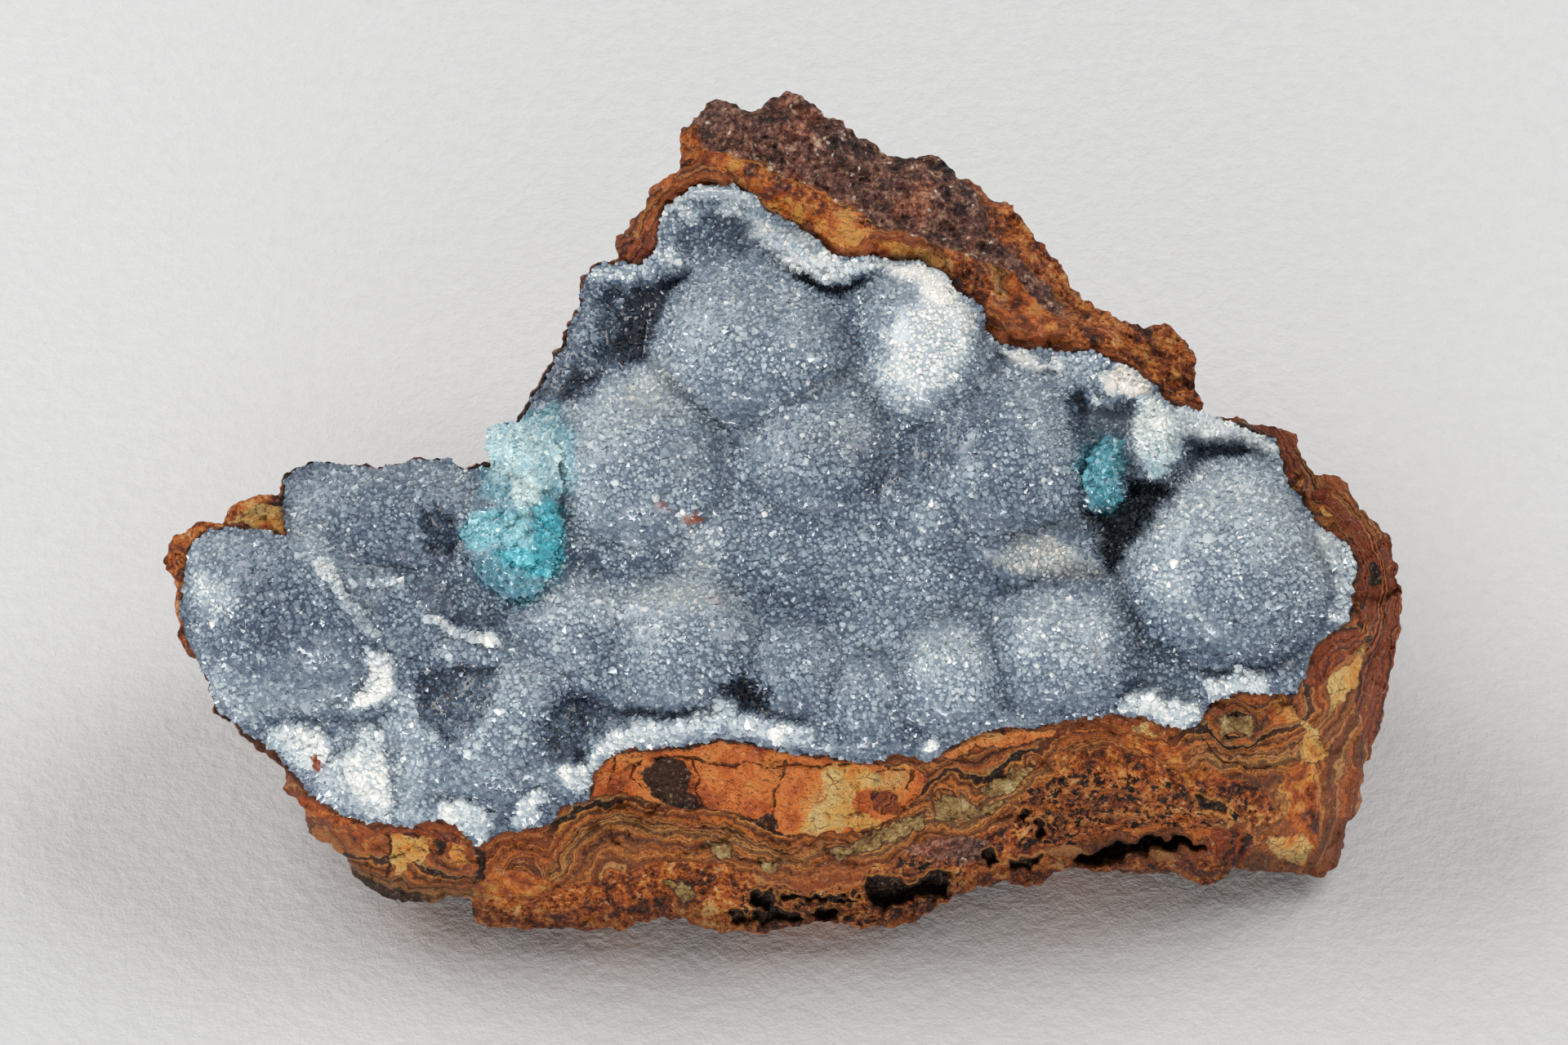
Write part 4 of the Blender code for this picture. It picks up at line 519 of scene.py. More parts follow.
# Zones of the broken face, each with its closed outlines
ZONES = {
    "massive": [
        [(19.7, -28.5), (22.6, -26.4), (26, -25.5), (33.5, -25.5), (32.5, -26.4), (26.6, -27.7),
         (23.5, -27.3), (21.2, -28.9)],
        [(-23.6, -33.7), (-23.5, -31.2), (-21.3, -28.5), (-18.5, -27.9), (-15.8, -28.2), (-11, -27.4),
         (-7.9, -26.9), (-3, -27.6), (1.5, -28.4), (6, -29), (11, -29.6), (15.5, -29.8), (17.4, -31.2),
         (16.8, -33.2), (15.2, -35.1), (12, -37), (8.1, -38), (4.5, -38), (0.4, -38.2), (-3.4, -36.3),
         (-6.6, -35.7), (-9.8, -35), (-12, -34.6), (-16, -34.3), (-20, -33)],
        [(-58.4, -36.8), (-56, -37.2), (-53.6, -40.2), (-55, -41), (-57.6, -39)],
    ],
    "gold": [
        [(-11, 46), (-8, 45.4), (-5, 44.2), (-5.4, 42.6), (-9, 43.6), (-12, 44.4)],
        [(-58, -35.6), (-55, -35.2), (-50.5, -39.3), (-50.8, -41.2), (-54, -40.3), (-57, -37.4)],
        [(-5, 42), (-2.3, 42), (1.4, 39.8), (3.4, 37.2), (1.4, 36.6), (-1.6, 38.8), (-4, 40.6)],
        [(3.4, 37.6), (7.6, 38.6), (10.4, 35.6), (8.6, 33.6), (5.4, 33.8), (3.8, 35.4)],
        [(27, 29.6), (27.6, 26.4), (29.6, 24.4), (33.4, 23.6), (32.6, 26), (29.5, 28.2), (28, 31)],
        [(-38, -43.5), (-34, -42.6), (-28.5, -43.4), (-29.5, -45.4), (-35, -46.2), (-38, -45.6)],
        [(50, -30.6), (52.6, -30.2), (54.4, -31.6), (52, -32.4)],
        [(62, -29.6), (65, -29.6), (65.8, -36), (65, -41), (63, -38), (60, -34)],
        [(58.6, -22.6), (62, -22.4), (63, -24), (60, -24.6)],
        [(-16, 43.6), (-12.6, 45.6), (-12.8, 41.8), (-15, 41)],
        [(10.6, 34.4), (16, 33.8), (20, 31.6), (18.4, 30.9), (13, 32.8)],
        [(40, -25.2), (43, -27.8), (49, -29.6), (48, -27.8), (44.4, -26.8)],
    ],
    "tan": [
        [(5.2, -30.2), (6.8, -29.4), (9.4, -29.6), (11.6, -31.5), (11.4, -32.5), (9, -32.8), (8.4, -34.4),
         (9, -35.7), (11.9, -36.6), (11.6, -37.6), (1.7, -37.8), (4.9, -33.8), (4.6, -32.2)],
        [(62.6, -23.6), (65, -25.2), (67, -28.6), (66.2, -29.3), (62.8, -29), (63.8, -25.3)],
        [(66.3, -19.5), (68.2, -17.5), (70.8, -15.6), (71.5, -16.2), (71.4, -18.5), (69.6, -20.2),
         (68.2, -22.4), (66.6, -23)],
        [(59, -38.8), (62, -38.2), (65, -39.6), (64, -41.6), (60.5, -41.2)],
        [(-48.2, -37.9), (-46.2, -37.8), (-43.1, -38.9), (-44.1, -41.3), (-47.7, -43.3), (-48.4, -40.2)],
        [(-40.8, -39.2), (-39.5, -38.7), (-38.6, -42.2), (-40.3, -41.3)],
        [(42.6, -24.8), (44.5, -24.8), (46.3, -26.2), (45.8, -26.8), (44, -26)],
        [(65.4, 2.4), (67, 2.6), (68.2, 0.8), (66.6, 0.4)],
        [(-68.4, 0.2), (-66.4, 1.2), (-63.4, 2.2), (-61.4, 1.6), (-61, -1), (-63, -1), (-66, -0.5)],
    ],
    "khaki": [
        [(4.9, -40.1), (6.8, -41.6), (8.4, -41.1), (11.3, -39.8), (17, -37.6), (17.3, -35.8), (14.5, -36.4),
         (10.6, -38.2), (7.8, -39.7)],
        [(18.2, -34.4), (19.6, -33.6), (21.2, -33.6), (24.1, -35.1), (27, -34), (27.7, -34.4),
         (24.5, -36.2), (21.2, -36.6), (18.6, -36.3)],
        [(23.7, -32.7), (26.6, -31.3), (30, -29.8), (31, -30.4), (26.3, -33.2), (24.8, -33.9)],
        [(53, -24), (55, -22.8), (57.2, -23.8), (57.8, -26.4), (56, -25.2), (54, -26.4)],
        [(-14.6, -44.2), (-11.4, -43.8), (-11.2, -46.4), (-12.6, -46.6)],
        [(-3, -41.2), (-0.6, -41.4), (-1, -42.8), (-2.8, -42.4)],
        [(-9.6, -39.2), (-6.6, -39.4), (-6, -40.8), (-9, -40.8)],
    ],
    "glassy": [
        [(52.4, -37.6), (55, -37.2), (57, -38.6), (57.2, -40.6), (55.4, -42), (52.8, -41.6), (51.6, -39.6)],
        [(64.6, 3.4), (66, 4.6), (70, 0.6), (72.6, -2), (73.2, -14), (71.2, -25), (69.6, -22), (71.8, -14),
         (71.4, -6), (68, 0)],
        [(72.6, -2), (77, -2), (77, -20), (73.4, -26), (71.6, -32), (71.2, -25), (73.2, -14)],
        [(-20.3, 34.4), (-18, 35), (-15.9, 36), (-15.8, 32.6), (-17.6, 31.6), (-20.2, 31.8)],
        [(63.7, -19.5), (65.6, -15), (68.2, -13.3), (70.8, -12.4), (70.8, -14.6), (67, -18), (65, -20.8)],
        [(52, 14), (56, 12.8), (60, 11.8), (62.5, 10.6), (63.2, 7), (61.4, 6), (60.8, 9.6), (57, 11.6)],
        [(70, -3), (71.4, -4), (71.6, -12), (70.2, -12.4), (70.3, -8)],
        [(10.2, -33), (12.4, -32.4), (14.4, -33.8), (14, -35.8), (11.4, -35.6)],
        [(-51, -36.9), (-44, -37.4), (-40, -38.2), (-39, -39.6), (-43, -38.8), (-50, -38)],
    ],
    "maroon": [
        [(-10.8, 49), (-8.6, 52.5), (-4.6, 52.5), (-1.1, 54), (3, 54), (6, 51), (9, 49), (13, 47), (18, 46),
         (24, 40), (25.4, 35.4), (28.6, 32.4), (32.6, 28.6), (34.2, 25.2), (30.8, 26.1), (28, 30.6),
         (24, 32), (17.4, 34.6), (11, 36.6), (9.1, 38.2), (5.4, 40.3), (0.4, 42.4), (-3.1, 44.4),
         (-6.1, 44.7), (-9, 45.7), (-10.3, 47)],
        [(15, -39.8), (18, -38.8), (22, -38.2), (25, -39), (24, -41.4), (20.8, -42), (17, -42),
         (15.4, -41)],
    ],
    "orange": [
        [(-77, -1), (-74, -1.6), (-73.4, -10), (-71.6, -17), (-74, -18.4), (-77, -10)],
        [(-8, 44.8), (-4, 44.2), (-0.4, 42.6), (-1.4, 41), (-5, 42.4), (-8, 43)],
        [(19.6, 33.4), (22, 33.8), (25, 30.6), (26.4, 27.6), (24.4, 26), (22.4, 29.6), (20, 31.4)],
        [(-0.4, 42.6), (3, 40.9), (6, 39.7), (9, 37.4), (11.4, 36.2), (10, 34.8), (6, 37.4), (2, 39.4),
         (-1.4, 41.2)],
        [(18.4, 31.6), (21, 30.8), (23.8, 28.4), (25, 25.6), (23.4, 24.8), (21.2, 28), (18.4, 30.2)],
        [(33, -28.5), (40, -27.4), (46, -29.5), (52, -31), (58, -32), (61, -36), (57, -37.6), (57, -34),
         (50, -33), (44, -31.4), (38, -30.4), (33, -31.4)],
        [(24, 40.5), (28, 39.8), (31, 37.5), (34, 34.5), (37, 29), (40, 26.5), (40.6, 24.4), (35, 26.2),
         (32.4, 28.6), (28.6, 32.4), (25.2, 36)],
        [(36.6, 26), (44, 24.6), (47, 24.6), (51, 22.5), (52, 15), (47, 15.2), (43.4, 19), (39, 21.6),
         (34.4, 22.6)],
        [(-38.6, -46), (-34, -45.6), (-28, -45.4), (-22, -43.6), (-16, -41.6), (-8, -41.8), (-4, -43),
         (-2.6, -45), (-4, -52), (-40, -52)],
        [(17.5, -39.6), (24, -38), (27.8, -36.6), (30, -38), (32, -45), (12, -52), (12, -46.6),
         (20, -43.4)],
        [(-78, -2), (-72, 0.6), (-68, 3), (-61, 6), (-62, 2.4), (-67, 0.2), (-73, -2.4), (-73.6, -7),
         (-78, -7)],
        [(-13.2, 47.5), (-10.4, 48.6), (-10, 46), (-7.2, 45), (-10, 43.8), (-13.2, 43.6)],
        [(-4.4, -43.6), (0, -45.2), (6, -45.8), (10, -45), (14, -46), (17, -52), (-6, -52)],
        [(32, -40.4), (36, -42), (44, -41.4), (52, -41.4), (56, -43), (50, -47), (30, -46)],
    ],
    "porous": [
        [(-5.6, -44.8), (-1, -44.6), (4, -45.4), (9, -44.4), (12, -41.6), (16, -40.8), (21, -41.4),
         (22, -44), (19, -47), (9, -49.6), (-5, -50)],
        [(29, -33.4), (33, -31), (38, -29.8), (44, -31), (50, -32.4), (56, -33), (58, -35.8), (52, -37.2),
         (45, -37.2), (38, -38.6), (32, -40.2), (27.4, -39)],
    ],
    "black": [
        [(-17.5, -30.4), (-15.6, -28.8), (-12.6, -29), (-11.4, -31), (-11.6, -33.2), (-9.6, -35.2),
         (-13.6, -34.9), (-16.4, -33.2)],
        [(-3.2, -36.2), (-1.6, -35.4), (-0.8, -36.6), (-1, -37.8)],
        [(50.4, -33.4), (53.8, -34.6), (54.4, -35.6), (51, -35.2)],
        [(-54, -42), (-50.5, -43.6), (-46, -45), (-43.2, -46.2), (-43.5, -47.5), (-50, -47.5), (-55, -44)],
        [(-38.2, -39.4), (-36.2, -40.4), (-36.6, -43.4), (-38.2, -44.6), (-37.6, -42)],
        [(-43, -38.9), (-41.4, -39), (-41.8, -40.8), (-42.8, -40.4)],
        [(71.6, -4.8), (72.8, -5.4), (72.8, -7.6), (71.8, -7.8)],
        [(71, -13.6), (72, -13.8), (71.8, -15), (71.1, -14.8)],
    ],
}
RAGGED_ZONES = ("tan", "khaki")

# The edge of the broken face is darkened below this height: painted shade where it turns under
LOW_EDGE = -36

# Cracks of the broken face
CRACKS = [
    [(0.4, -28.6), (0.2, -30.2), (-0.6, -31.6), (-1.5, -33), (-1.1, -34), (-1.6, -35.6)],
    [(-15.8, -28.9), (-11.5, -28.6), (-8, -29.7), (-4.5, -29.2), (-1.8, -30), (0.2, -29.8), (4.9, -29.8),
     (8, -29.6)],
    [(-11.2, -29), (-10.6, -31), (-11, -33), (-10, -34.8)],
    [(-17.6, -29.2), (-18.8, -31.4), (-17.4, -32.6)],
    [(11, -30.4), (13, -29.9), (15.6, -30.6), (15, -32.8)], [(-21, -28.8), (-20.6, -30.6), (-21.8, -32.4)],
    [(51, -26.6), (53.8, -29), (57.2, -30.4), (60.4, -30)], [(-48.4, -38), (-48.2, -41), (-48.6, -43.4)],
]


def camera_coordinates(x, y, z):
    """Drawing coordinates of a point given across, away and up, in drawing units."""
    w = z * math.sin(VIEW_TILT) - y * math.cos(VIEW_TILT)
    nearness = 1 - w / DISTANCE
    return x / nearness, (y * math.sin(VIEW_TILT) + z * math.cos(VIEW_TILT)) / nearness, w


def place(points):
    """Drawing coordinates (n, 3) in the frame's metres."""
    u, v, w = points.T
    nearness = 1 - w / DISTANCE
    across = u * nearness
    away = v * nearness * math.sin(VIEW_TILT) - w * math.cos(VIEW_TILT)
    up = v * nearness * math.cos(VIEW_TILT) + w * math.sin(VIEW_TILT)
    return np.column_stack((across, away, up)) * UNIT + np.array(DRAWING_CENTRE)


def thin_plate(spots, slack=4.0):
    """A smooth surface through values given at a few spots."""
    spots = np.array(spots, float)
    centres = spots[:, :2]

    def bend(points):
        squared = ((points[:, None, :] - centres[None]) ** 2).sum(2) + 1e-9
        return 0.5 * squared * np.log(squared)

    count = len(spots)
    system = np.zeros((count + 3, count + 3))
    system[:count, :count] = bend(centres) + slack * np.eye(count)
    system[:count, count] = 1
    system[:count, count + 1:] = centres
    system[count:, :count] = system[:count, count:].T
    weights = np.linalg.solve(system, np.append(spots[:, 2], (0, 0, 0)))

    def height(points):
        plane = weights[count] + points @ weights[count + 1:]
        return bend(points) @ weights[:count] + plane

    return height


wall_height = thin_plate(WALL_HEIGHTS)
break_height = thin_plate(BREAK_HEIGHTS)
layer_number = thin_plate([(u, v, number) for number, line in LAYER_LINES for u, v in line], 1.5)


def soft_max(first, second, reach):
    """The larger of two heights, rounded where they cross."""
    share = np.clip(0.5 + 0.5 * (first - second) / reach, 0, 1)
    return second + (first - second) * share + reach * share * (1 - share)


def noise_field(points, size, seed):
    """Smooth noise from -1 to 1 at each point of the drawing."""
    return np.array([noise.noise((u / size, v / size, seed)) for u, v in points])


def rough_field(points, size, seed):
    """Fractal noise at each point of the drawing."""
    return np.array([noise.fractal((u / size, v / size, seed), 0.9, 2.1, 4) for u, v in points])


def deep_field(points, size):
    """Smooth noise from -1 to 1 that also changes with depth."""
    return np.array([noise.noise((u / size, v / size, w / size)) for u, v, w in points])


def cell_field(points, size, seed):
    """The distance to the nearest cell centre, and to the second nearest, in cell sizes."""
    pairs = np.array([noise.voronoi((u / size, v / size, seed))[0][:2] for u, v in points])
    return pairs[:, 0], pairs[:, 1]


def warped(points, amount):
    """Points moved about a little, so that patches get ragged edges."""
    shift = np.column_stack((noise_field(points, 1.7, 11.5), noise_field(points, 1.7, 31.5)))
    finer = np.column_stack((noise_field(points, 0.7, 15.5), noise_field(points, 0.7, 35.5)))
    return points + amount * shift + 0.5 * amount * finer


def distance_to(points, loop):
    """The distance of each point to a closed outline."""
    start = np.array(loop, float)
    run = np.roll(start, -1, axis=0) - start
    square = (run ** 2).sum(1)
    if len(start) > LONG_OUTLINE:
        pieces = np.maximum(np.ceil(np.sqrt(square) / LOOKUP_STEP).astype(int), 1)
        owner = np.repeat(np.arange(len(start)), pieces)
        step = np.arange(len(owner)) - np.repeat(np.cumsum(pieces) - pieces, pieces)
        dense = start[owner] + run[owner] * (step / pieces[owner])[:, None]
        tree = KDTree(len(dense))
        for number, (u, v) in enumerate(dense.tolist()):
            tree.insert((u, v, 0), number)
        tree.balance()
        return np.array([tree.find((u, v, 0))[2] for u, v in points.tolist()])
    nearest = []
    for part in np.array_split(points, len(points) // DISTANCE_BATCH + 1):
        offset = part[:, None, :] - start[None]
        along = np.clip((offset * run).sum(2) / square, 0, 1)
        nearest.append(((offset - along[:, :, None] * run) ** 2).sum(2).min(1))
    return np.sqrt(np.concatenate(nearest))


def distance_to_line(points, line):
    """The distance of each point to an open line."""
    return distance_to(points, line + line[-2:0:-1])


def inside(points, loop):
    """Which points lie within a closed outline."""
    start = np.array(loop, float)
    end = np.roll(start, -1, axis=0)
    slope = (end[:, 0] - start[:, 0]) / np.where(end[:, 1] == start[:, 1], 1, end[:, 1] - start[:, 1])
    order = np.argsort(points[:, 1])
    found = np.empty(len(points), bool)
    for part in np.array_split(order, len(points) // INSIDE_BATCH + 1):
        if len(part) == 0:
            continue
        u, v = points[part, 0][:, None], points[part, 1][:, None]
        low, high = v.min(), v.max()
        reach = (np.minimum(start[:, 1], end[:, 1]) <= high) & (np.maximum(start[:, 1], end[:, 1]) >= low)
        begin, finish, lean = start[reach], end[reach], slope[reach]
        straddles = (begin[:, 1] > v) != (finish[:, 1] > v)
        crossing = begin[:, 0] + (v - begin[:, 1]) * lean
        found[part] = (straddles & (u < crossing)).sum(1) % 2 == 1
    return found


def spread_share(points, outline, softness):
    """From 0 outside an outline to 1 inside, smooth over the softness on either side of its line."""
    low, high = np.min(outline, axis=0) - softness, np.max(outline, axis=0) + softness
    close = ((points > low) & (points < high)).all(1)
    share = np.zeros(len(points))
    picked = points[close]
    if len(picked):
        side = np.where(inside(picked, outline), 0.5, -0.5)
        part = np.clip(0.5 + side * distance_to(picked, outline) / softness, 0, 1)
        share[close] = part * part * (3 - 2 * part)
    return share


def most_share(points, outlines, softness):
    """From 0 outside to 1 inside any of the outlines."""
    return np.maximum.reduce([spread_share(points, outline, softness) for outline in outlines])


def fine_loop(loop, spacing, roughness):
    """A closed outline as evenly spaced points, slightly rough."""
    loop = np.array(loop, float)
    ends = np.vstack((loop, loop[:1]))
    lengths = np.hypot(*np.diff(ends, axis=0).T)
    travelled = np.append(0, np.cumsum(lengths))
    count = round(travelled[-1] / spacing)
    stations = np.arange(count) * travelled[-1] / count
    points = np.column_stack([np.interp(stations, travelled, ends[:, axis]) for axis in (0, 1)])
    along = np.roll(points, -2, axis=0) - np.roll(points, 2, axis=0)
    along /= np.hypot(*along.T)[:, None]
    inwards = np.column_stack((-along[:, 1], along[:, 0]))
    shift = (0.5 * noise_field(points, 2.2, 5.5) + 0.3 * noise_field(points, 0.9, 9.5)
             + 0.2 * noise_field(points, 0.4, 2.5))
    return points + inwards * (shift * roughness)[:, None]


def grid_within(loop, spacing, margin):
    """Points of a shaken triangular grid within an outline, clear of its edge."""
    low, high = loop.min(0), loop.max(0)
    rows = np.arange(low[1], high[1], spacing * math.sqrt(0.75))
    columns = np.arange(low[0], high[0], spacing)
    shift = (np.arange(len(rows)) % 2) * spacing / 2
    points = np.column_stack((
        (columns[None, :] + shift[:, None]).ravel(), np.repeat(rows, len(columns))
    ))
    points += np.random.default_rng(3).uniform(-0.2, 0.2, points.shape) * spacing
    points = points[inside(points, loop)]
    return points[distance_to(points, loop) > margin]


def triangles_within(points, edge):
    """Triangles over points, the first of which are the closed edge that holds them all."""
    edges = [((number - 1) % len(edge), number) for number in range(len(edge))]
    _, _, faces, origins, _, _ = delaunay_2d_cdt([Vector(p) for p in points.tolist()], edges, [], 0, 1e-6)
    numbers = np.array([origin[0] for origin in origins])
    corners = numbers[np.array(faces)]
    one, two, three = (points[corners[:, i]] for i in range(3))
    turned = np.cross(two - one, three - one) < 0
    corners[turned] = corners[turned][:, ::-1]
    return corners[inside((one + two + three) / 3, edge)]


def domed(points, base):
    """Heights with every dome standing on the base heights."""
    heights = base
    for u, v, half_width, half_height, rise in DOMES:
        reach = (((points - (u, v)) / (half_width, half_height)) ** 2).sum(1)
        radius = (1 + (rise / half_width) ** 2) / (2 * rise / half_width)
        cap = np.sqrt(np.maximum(radius ** 2 - reach, 0.04)) - (radius - rise / half_width)
        dome = base + half_width * cap - 0.6 * np.maximum(reach - 1, 0) * half_width
        heights = soft_max(heights, dome, 1.5)
    return heights


def break_surface(points):
    """Heights of the broken limonite, with its cavities and ledges."""
    heights = break_height(points)
    heights += 0.9 * noise_field(points, 7, 1.5) + 0.5 * noise_field(points, 3.2, 6.5)
    for half_width, rise, line in LEDGES:
        heights += rise * np.exp(-(distance_to_line(points, line) / half_width) ** 2)
    seen = warped(points, 0.9)
    for depth, outline in CAVITIES:
        heights -= depth * spread_share(seen, outline, 0.4)
    return heights


def crust_surface(points):
    """Heights of the crystal crust, rolled down to the broken face along its edge."""
    heights = domed(points, wall_height(points)) + 0.45 * noise_field(points, 5, 2.5)
    seen = warped(points, 0.8)
    for rise, softness, _, _, outline in RELIEF:
        heights += rise * spread_share(seen, outline, softness)
    edge = np.clip(1 - distance_to(points, CRUST_EDGE) / EDGE_ROLL, 0, 1) ** 1.5
    return heights * (1 - edge) + (break_surface(points) + 0.4) * edge


def with_heights(points, heights):
    return np.column_stack((points, heights))


def above_table(points, clearance):
    """Drawing coordinates with no point nearer to the table than the clearance."""
    u, v, w = points.T
    slope = math.sin(VIEW_TILT) - v * math.cos(VIEW_TILT) / DISTANCE
    lowest = (clearance - DROP - v * math.cos(VIEW_TILT)) / slope
    return np.column_stack((u, v, np.maximum(w, lowest)))


def add_piece(name, points, faces, material, fields, node=None):
    """One named mesh that rides on the specimen, with a number per vertex for each field.

    Its points are in metres. A piece that stands for a node is smooth, and one that doesn't is cut flat.
    """
    mesh = bpy.data.meshes.new(name)
    mesh.from_pydata(points.tolist(), [], faces.tolist())
    mesh.materials.append(material)
    mesh.update()
    for field, values in fields.items():
        attribute = mesh.attributes.new(field, "FLOAT", "POINT")
        attribute.data.foreach_set("value", np.asarray(values, np.float32))
    piece = bpy.data.objects.new(name, mesh)
    bpy.context.scene.collection.objects.link(piece)
    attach(piece, "root")
    if node:
        mesh.shade_smooth()
        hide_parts(node)


# Materials


def colour(red, green, blue):
    """A colour given in screen values from 0 to 255, in the shader's linear values."""
    screen = [value / 255 for value in (red, green, blue)]
    linear = [value / 12.92 if value <= 0.04045 else ((value + 0.055) / 1.055) ** 2.4 for value in screen]
    return (*linear, 1)


class Nodes:
    """Short ways to add shader nodes to one material. A colour is (red, green, blue) in screen values."""

    def __init__(self, name, roughness):
        self.material = bpy.data.materials.new(name)
        self.material.use_nodes = True
        self.tree = self.material.node_tree
        self.shader = self.tree.nodes["Principled BSDF"]
        self.shader.inputs["Roughness"].default_value = roughness
        self.place = self.tree.nodes.new("ShaderNodeTexCoord").outputs["Object"]

    def join(self, value, socket):
        if isinstance(value, bpy.types.NodeSocket):
            self.tree.links.new(value, socket)
        else:
            socket.default_value = colour(*value) if isinstance(value, tuple) else value

    def add(self, kind, inputs, **settings):
        """A node with its settings, and its inputs by name or number."""
        node = self.tree.nodes.new("ShaderNode" + kind)
        for name, value in settings.items():
            setattr(node, name, value)
        for name, value in inputs.items():
            self.join(value, node.inputs[name])
        return node

    def field(self, name):
        return self.add("Attribute", {}, attribute_name=name).outputs["Fac"]

    def noise(self, size, detail, roughness=0.55):
        """Noise from 0 to 1; size is in metres."""
        inputs = {"Vector": self.place, "Scale": 1 / size, "Detail": detail, "Roughness": roughness}
        return self.add("TexNoise", inputs).outputs["Fac"]

    def strata(self, layer, scale):
        """Noise that changes only from layer to layer."""
        inputs = {"W": layer, "Scale": scale, "Detail": 3, "Roughness": 0.6}
        return self.add("TexNoise", inputs, noise_dimensions="1D").outputs["Fac"]

    def cells(self, size, feature="F1"):
        inputs = {"Vector": self.place, "Scale": 1 / size}
        return self.add("TexVoronoi", inputs, feature=feature).outputs["Distance"]

    def math(self, operation, first, second):
        return self.add("Math", {0: first, 1: second}, operation=operation).outputs[0]

    def plus(self, first, *others):
        for other in others:
            first = self.math("ADD", first, other)
        return first

    def times(self, first, second):
        return self.math("MULTIPLY", first, second)

    def centred(self, value, reach):
        """Noise from 0 to 1 made to swing about 0."""
        return self.times(self.math("SUBTRACT", value, 0.5), reach)

    def step(self, value, low, high):
        """0 below low, 1 above high, smooth between."""
        inputs = {"Value": value, "From Min": low, "From Max": high}
        return self.add("MapRange", inputs, interpolation_type="SMOOTHSTEP").outputs["Result"]

    def ramp(self, value, stops):
        """Colours along a value, as (position, colour)."""
        node = self.add("ValToRGB", {"Fac": value})
        elements = node.color_ramp.elements
        elements[0].position, elements[1].position = stops[0][0], stops[-1][0]
        elements[0].color, elements[1].color = colour(*stops[0][1]), colour(*stops[-1][1])
        for position, shade in stops[1:-1]:
            elements.new(position).color = colour(*shade)
        return node.outputs["Color"]

    def mix(self, share, first, second, blend="MIX"):
        inputs = {0: share, 6: first, 7: second}
        return self.add("Mix", inputs, data_type="RGBA", blend_type=blend).outputs[2]

    def cover(self, base, shade, share, most, blend="MIX"):
        """The base with a colour over the share of it, at most so strong."""
        return self.mix(self.times(share, most), base, shade, blend)

    def bump(self, height, depth):
        return self.add("Bump", {"Height": height, "Distance": depth}).outputs["Normal"]

    def finish(self, base, roughness=None, normal=None):
        for name, value in (("Base Color", base), ("Roughness", roughness), ("Normal", normal)):
            if value is not None:
                self.join(value, self.shader.inputs[name])
        return self.material


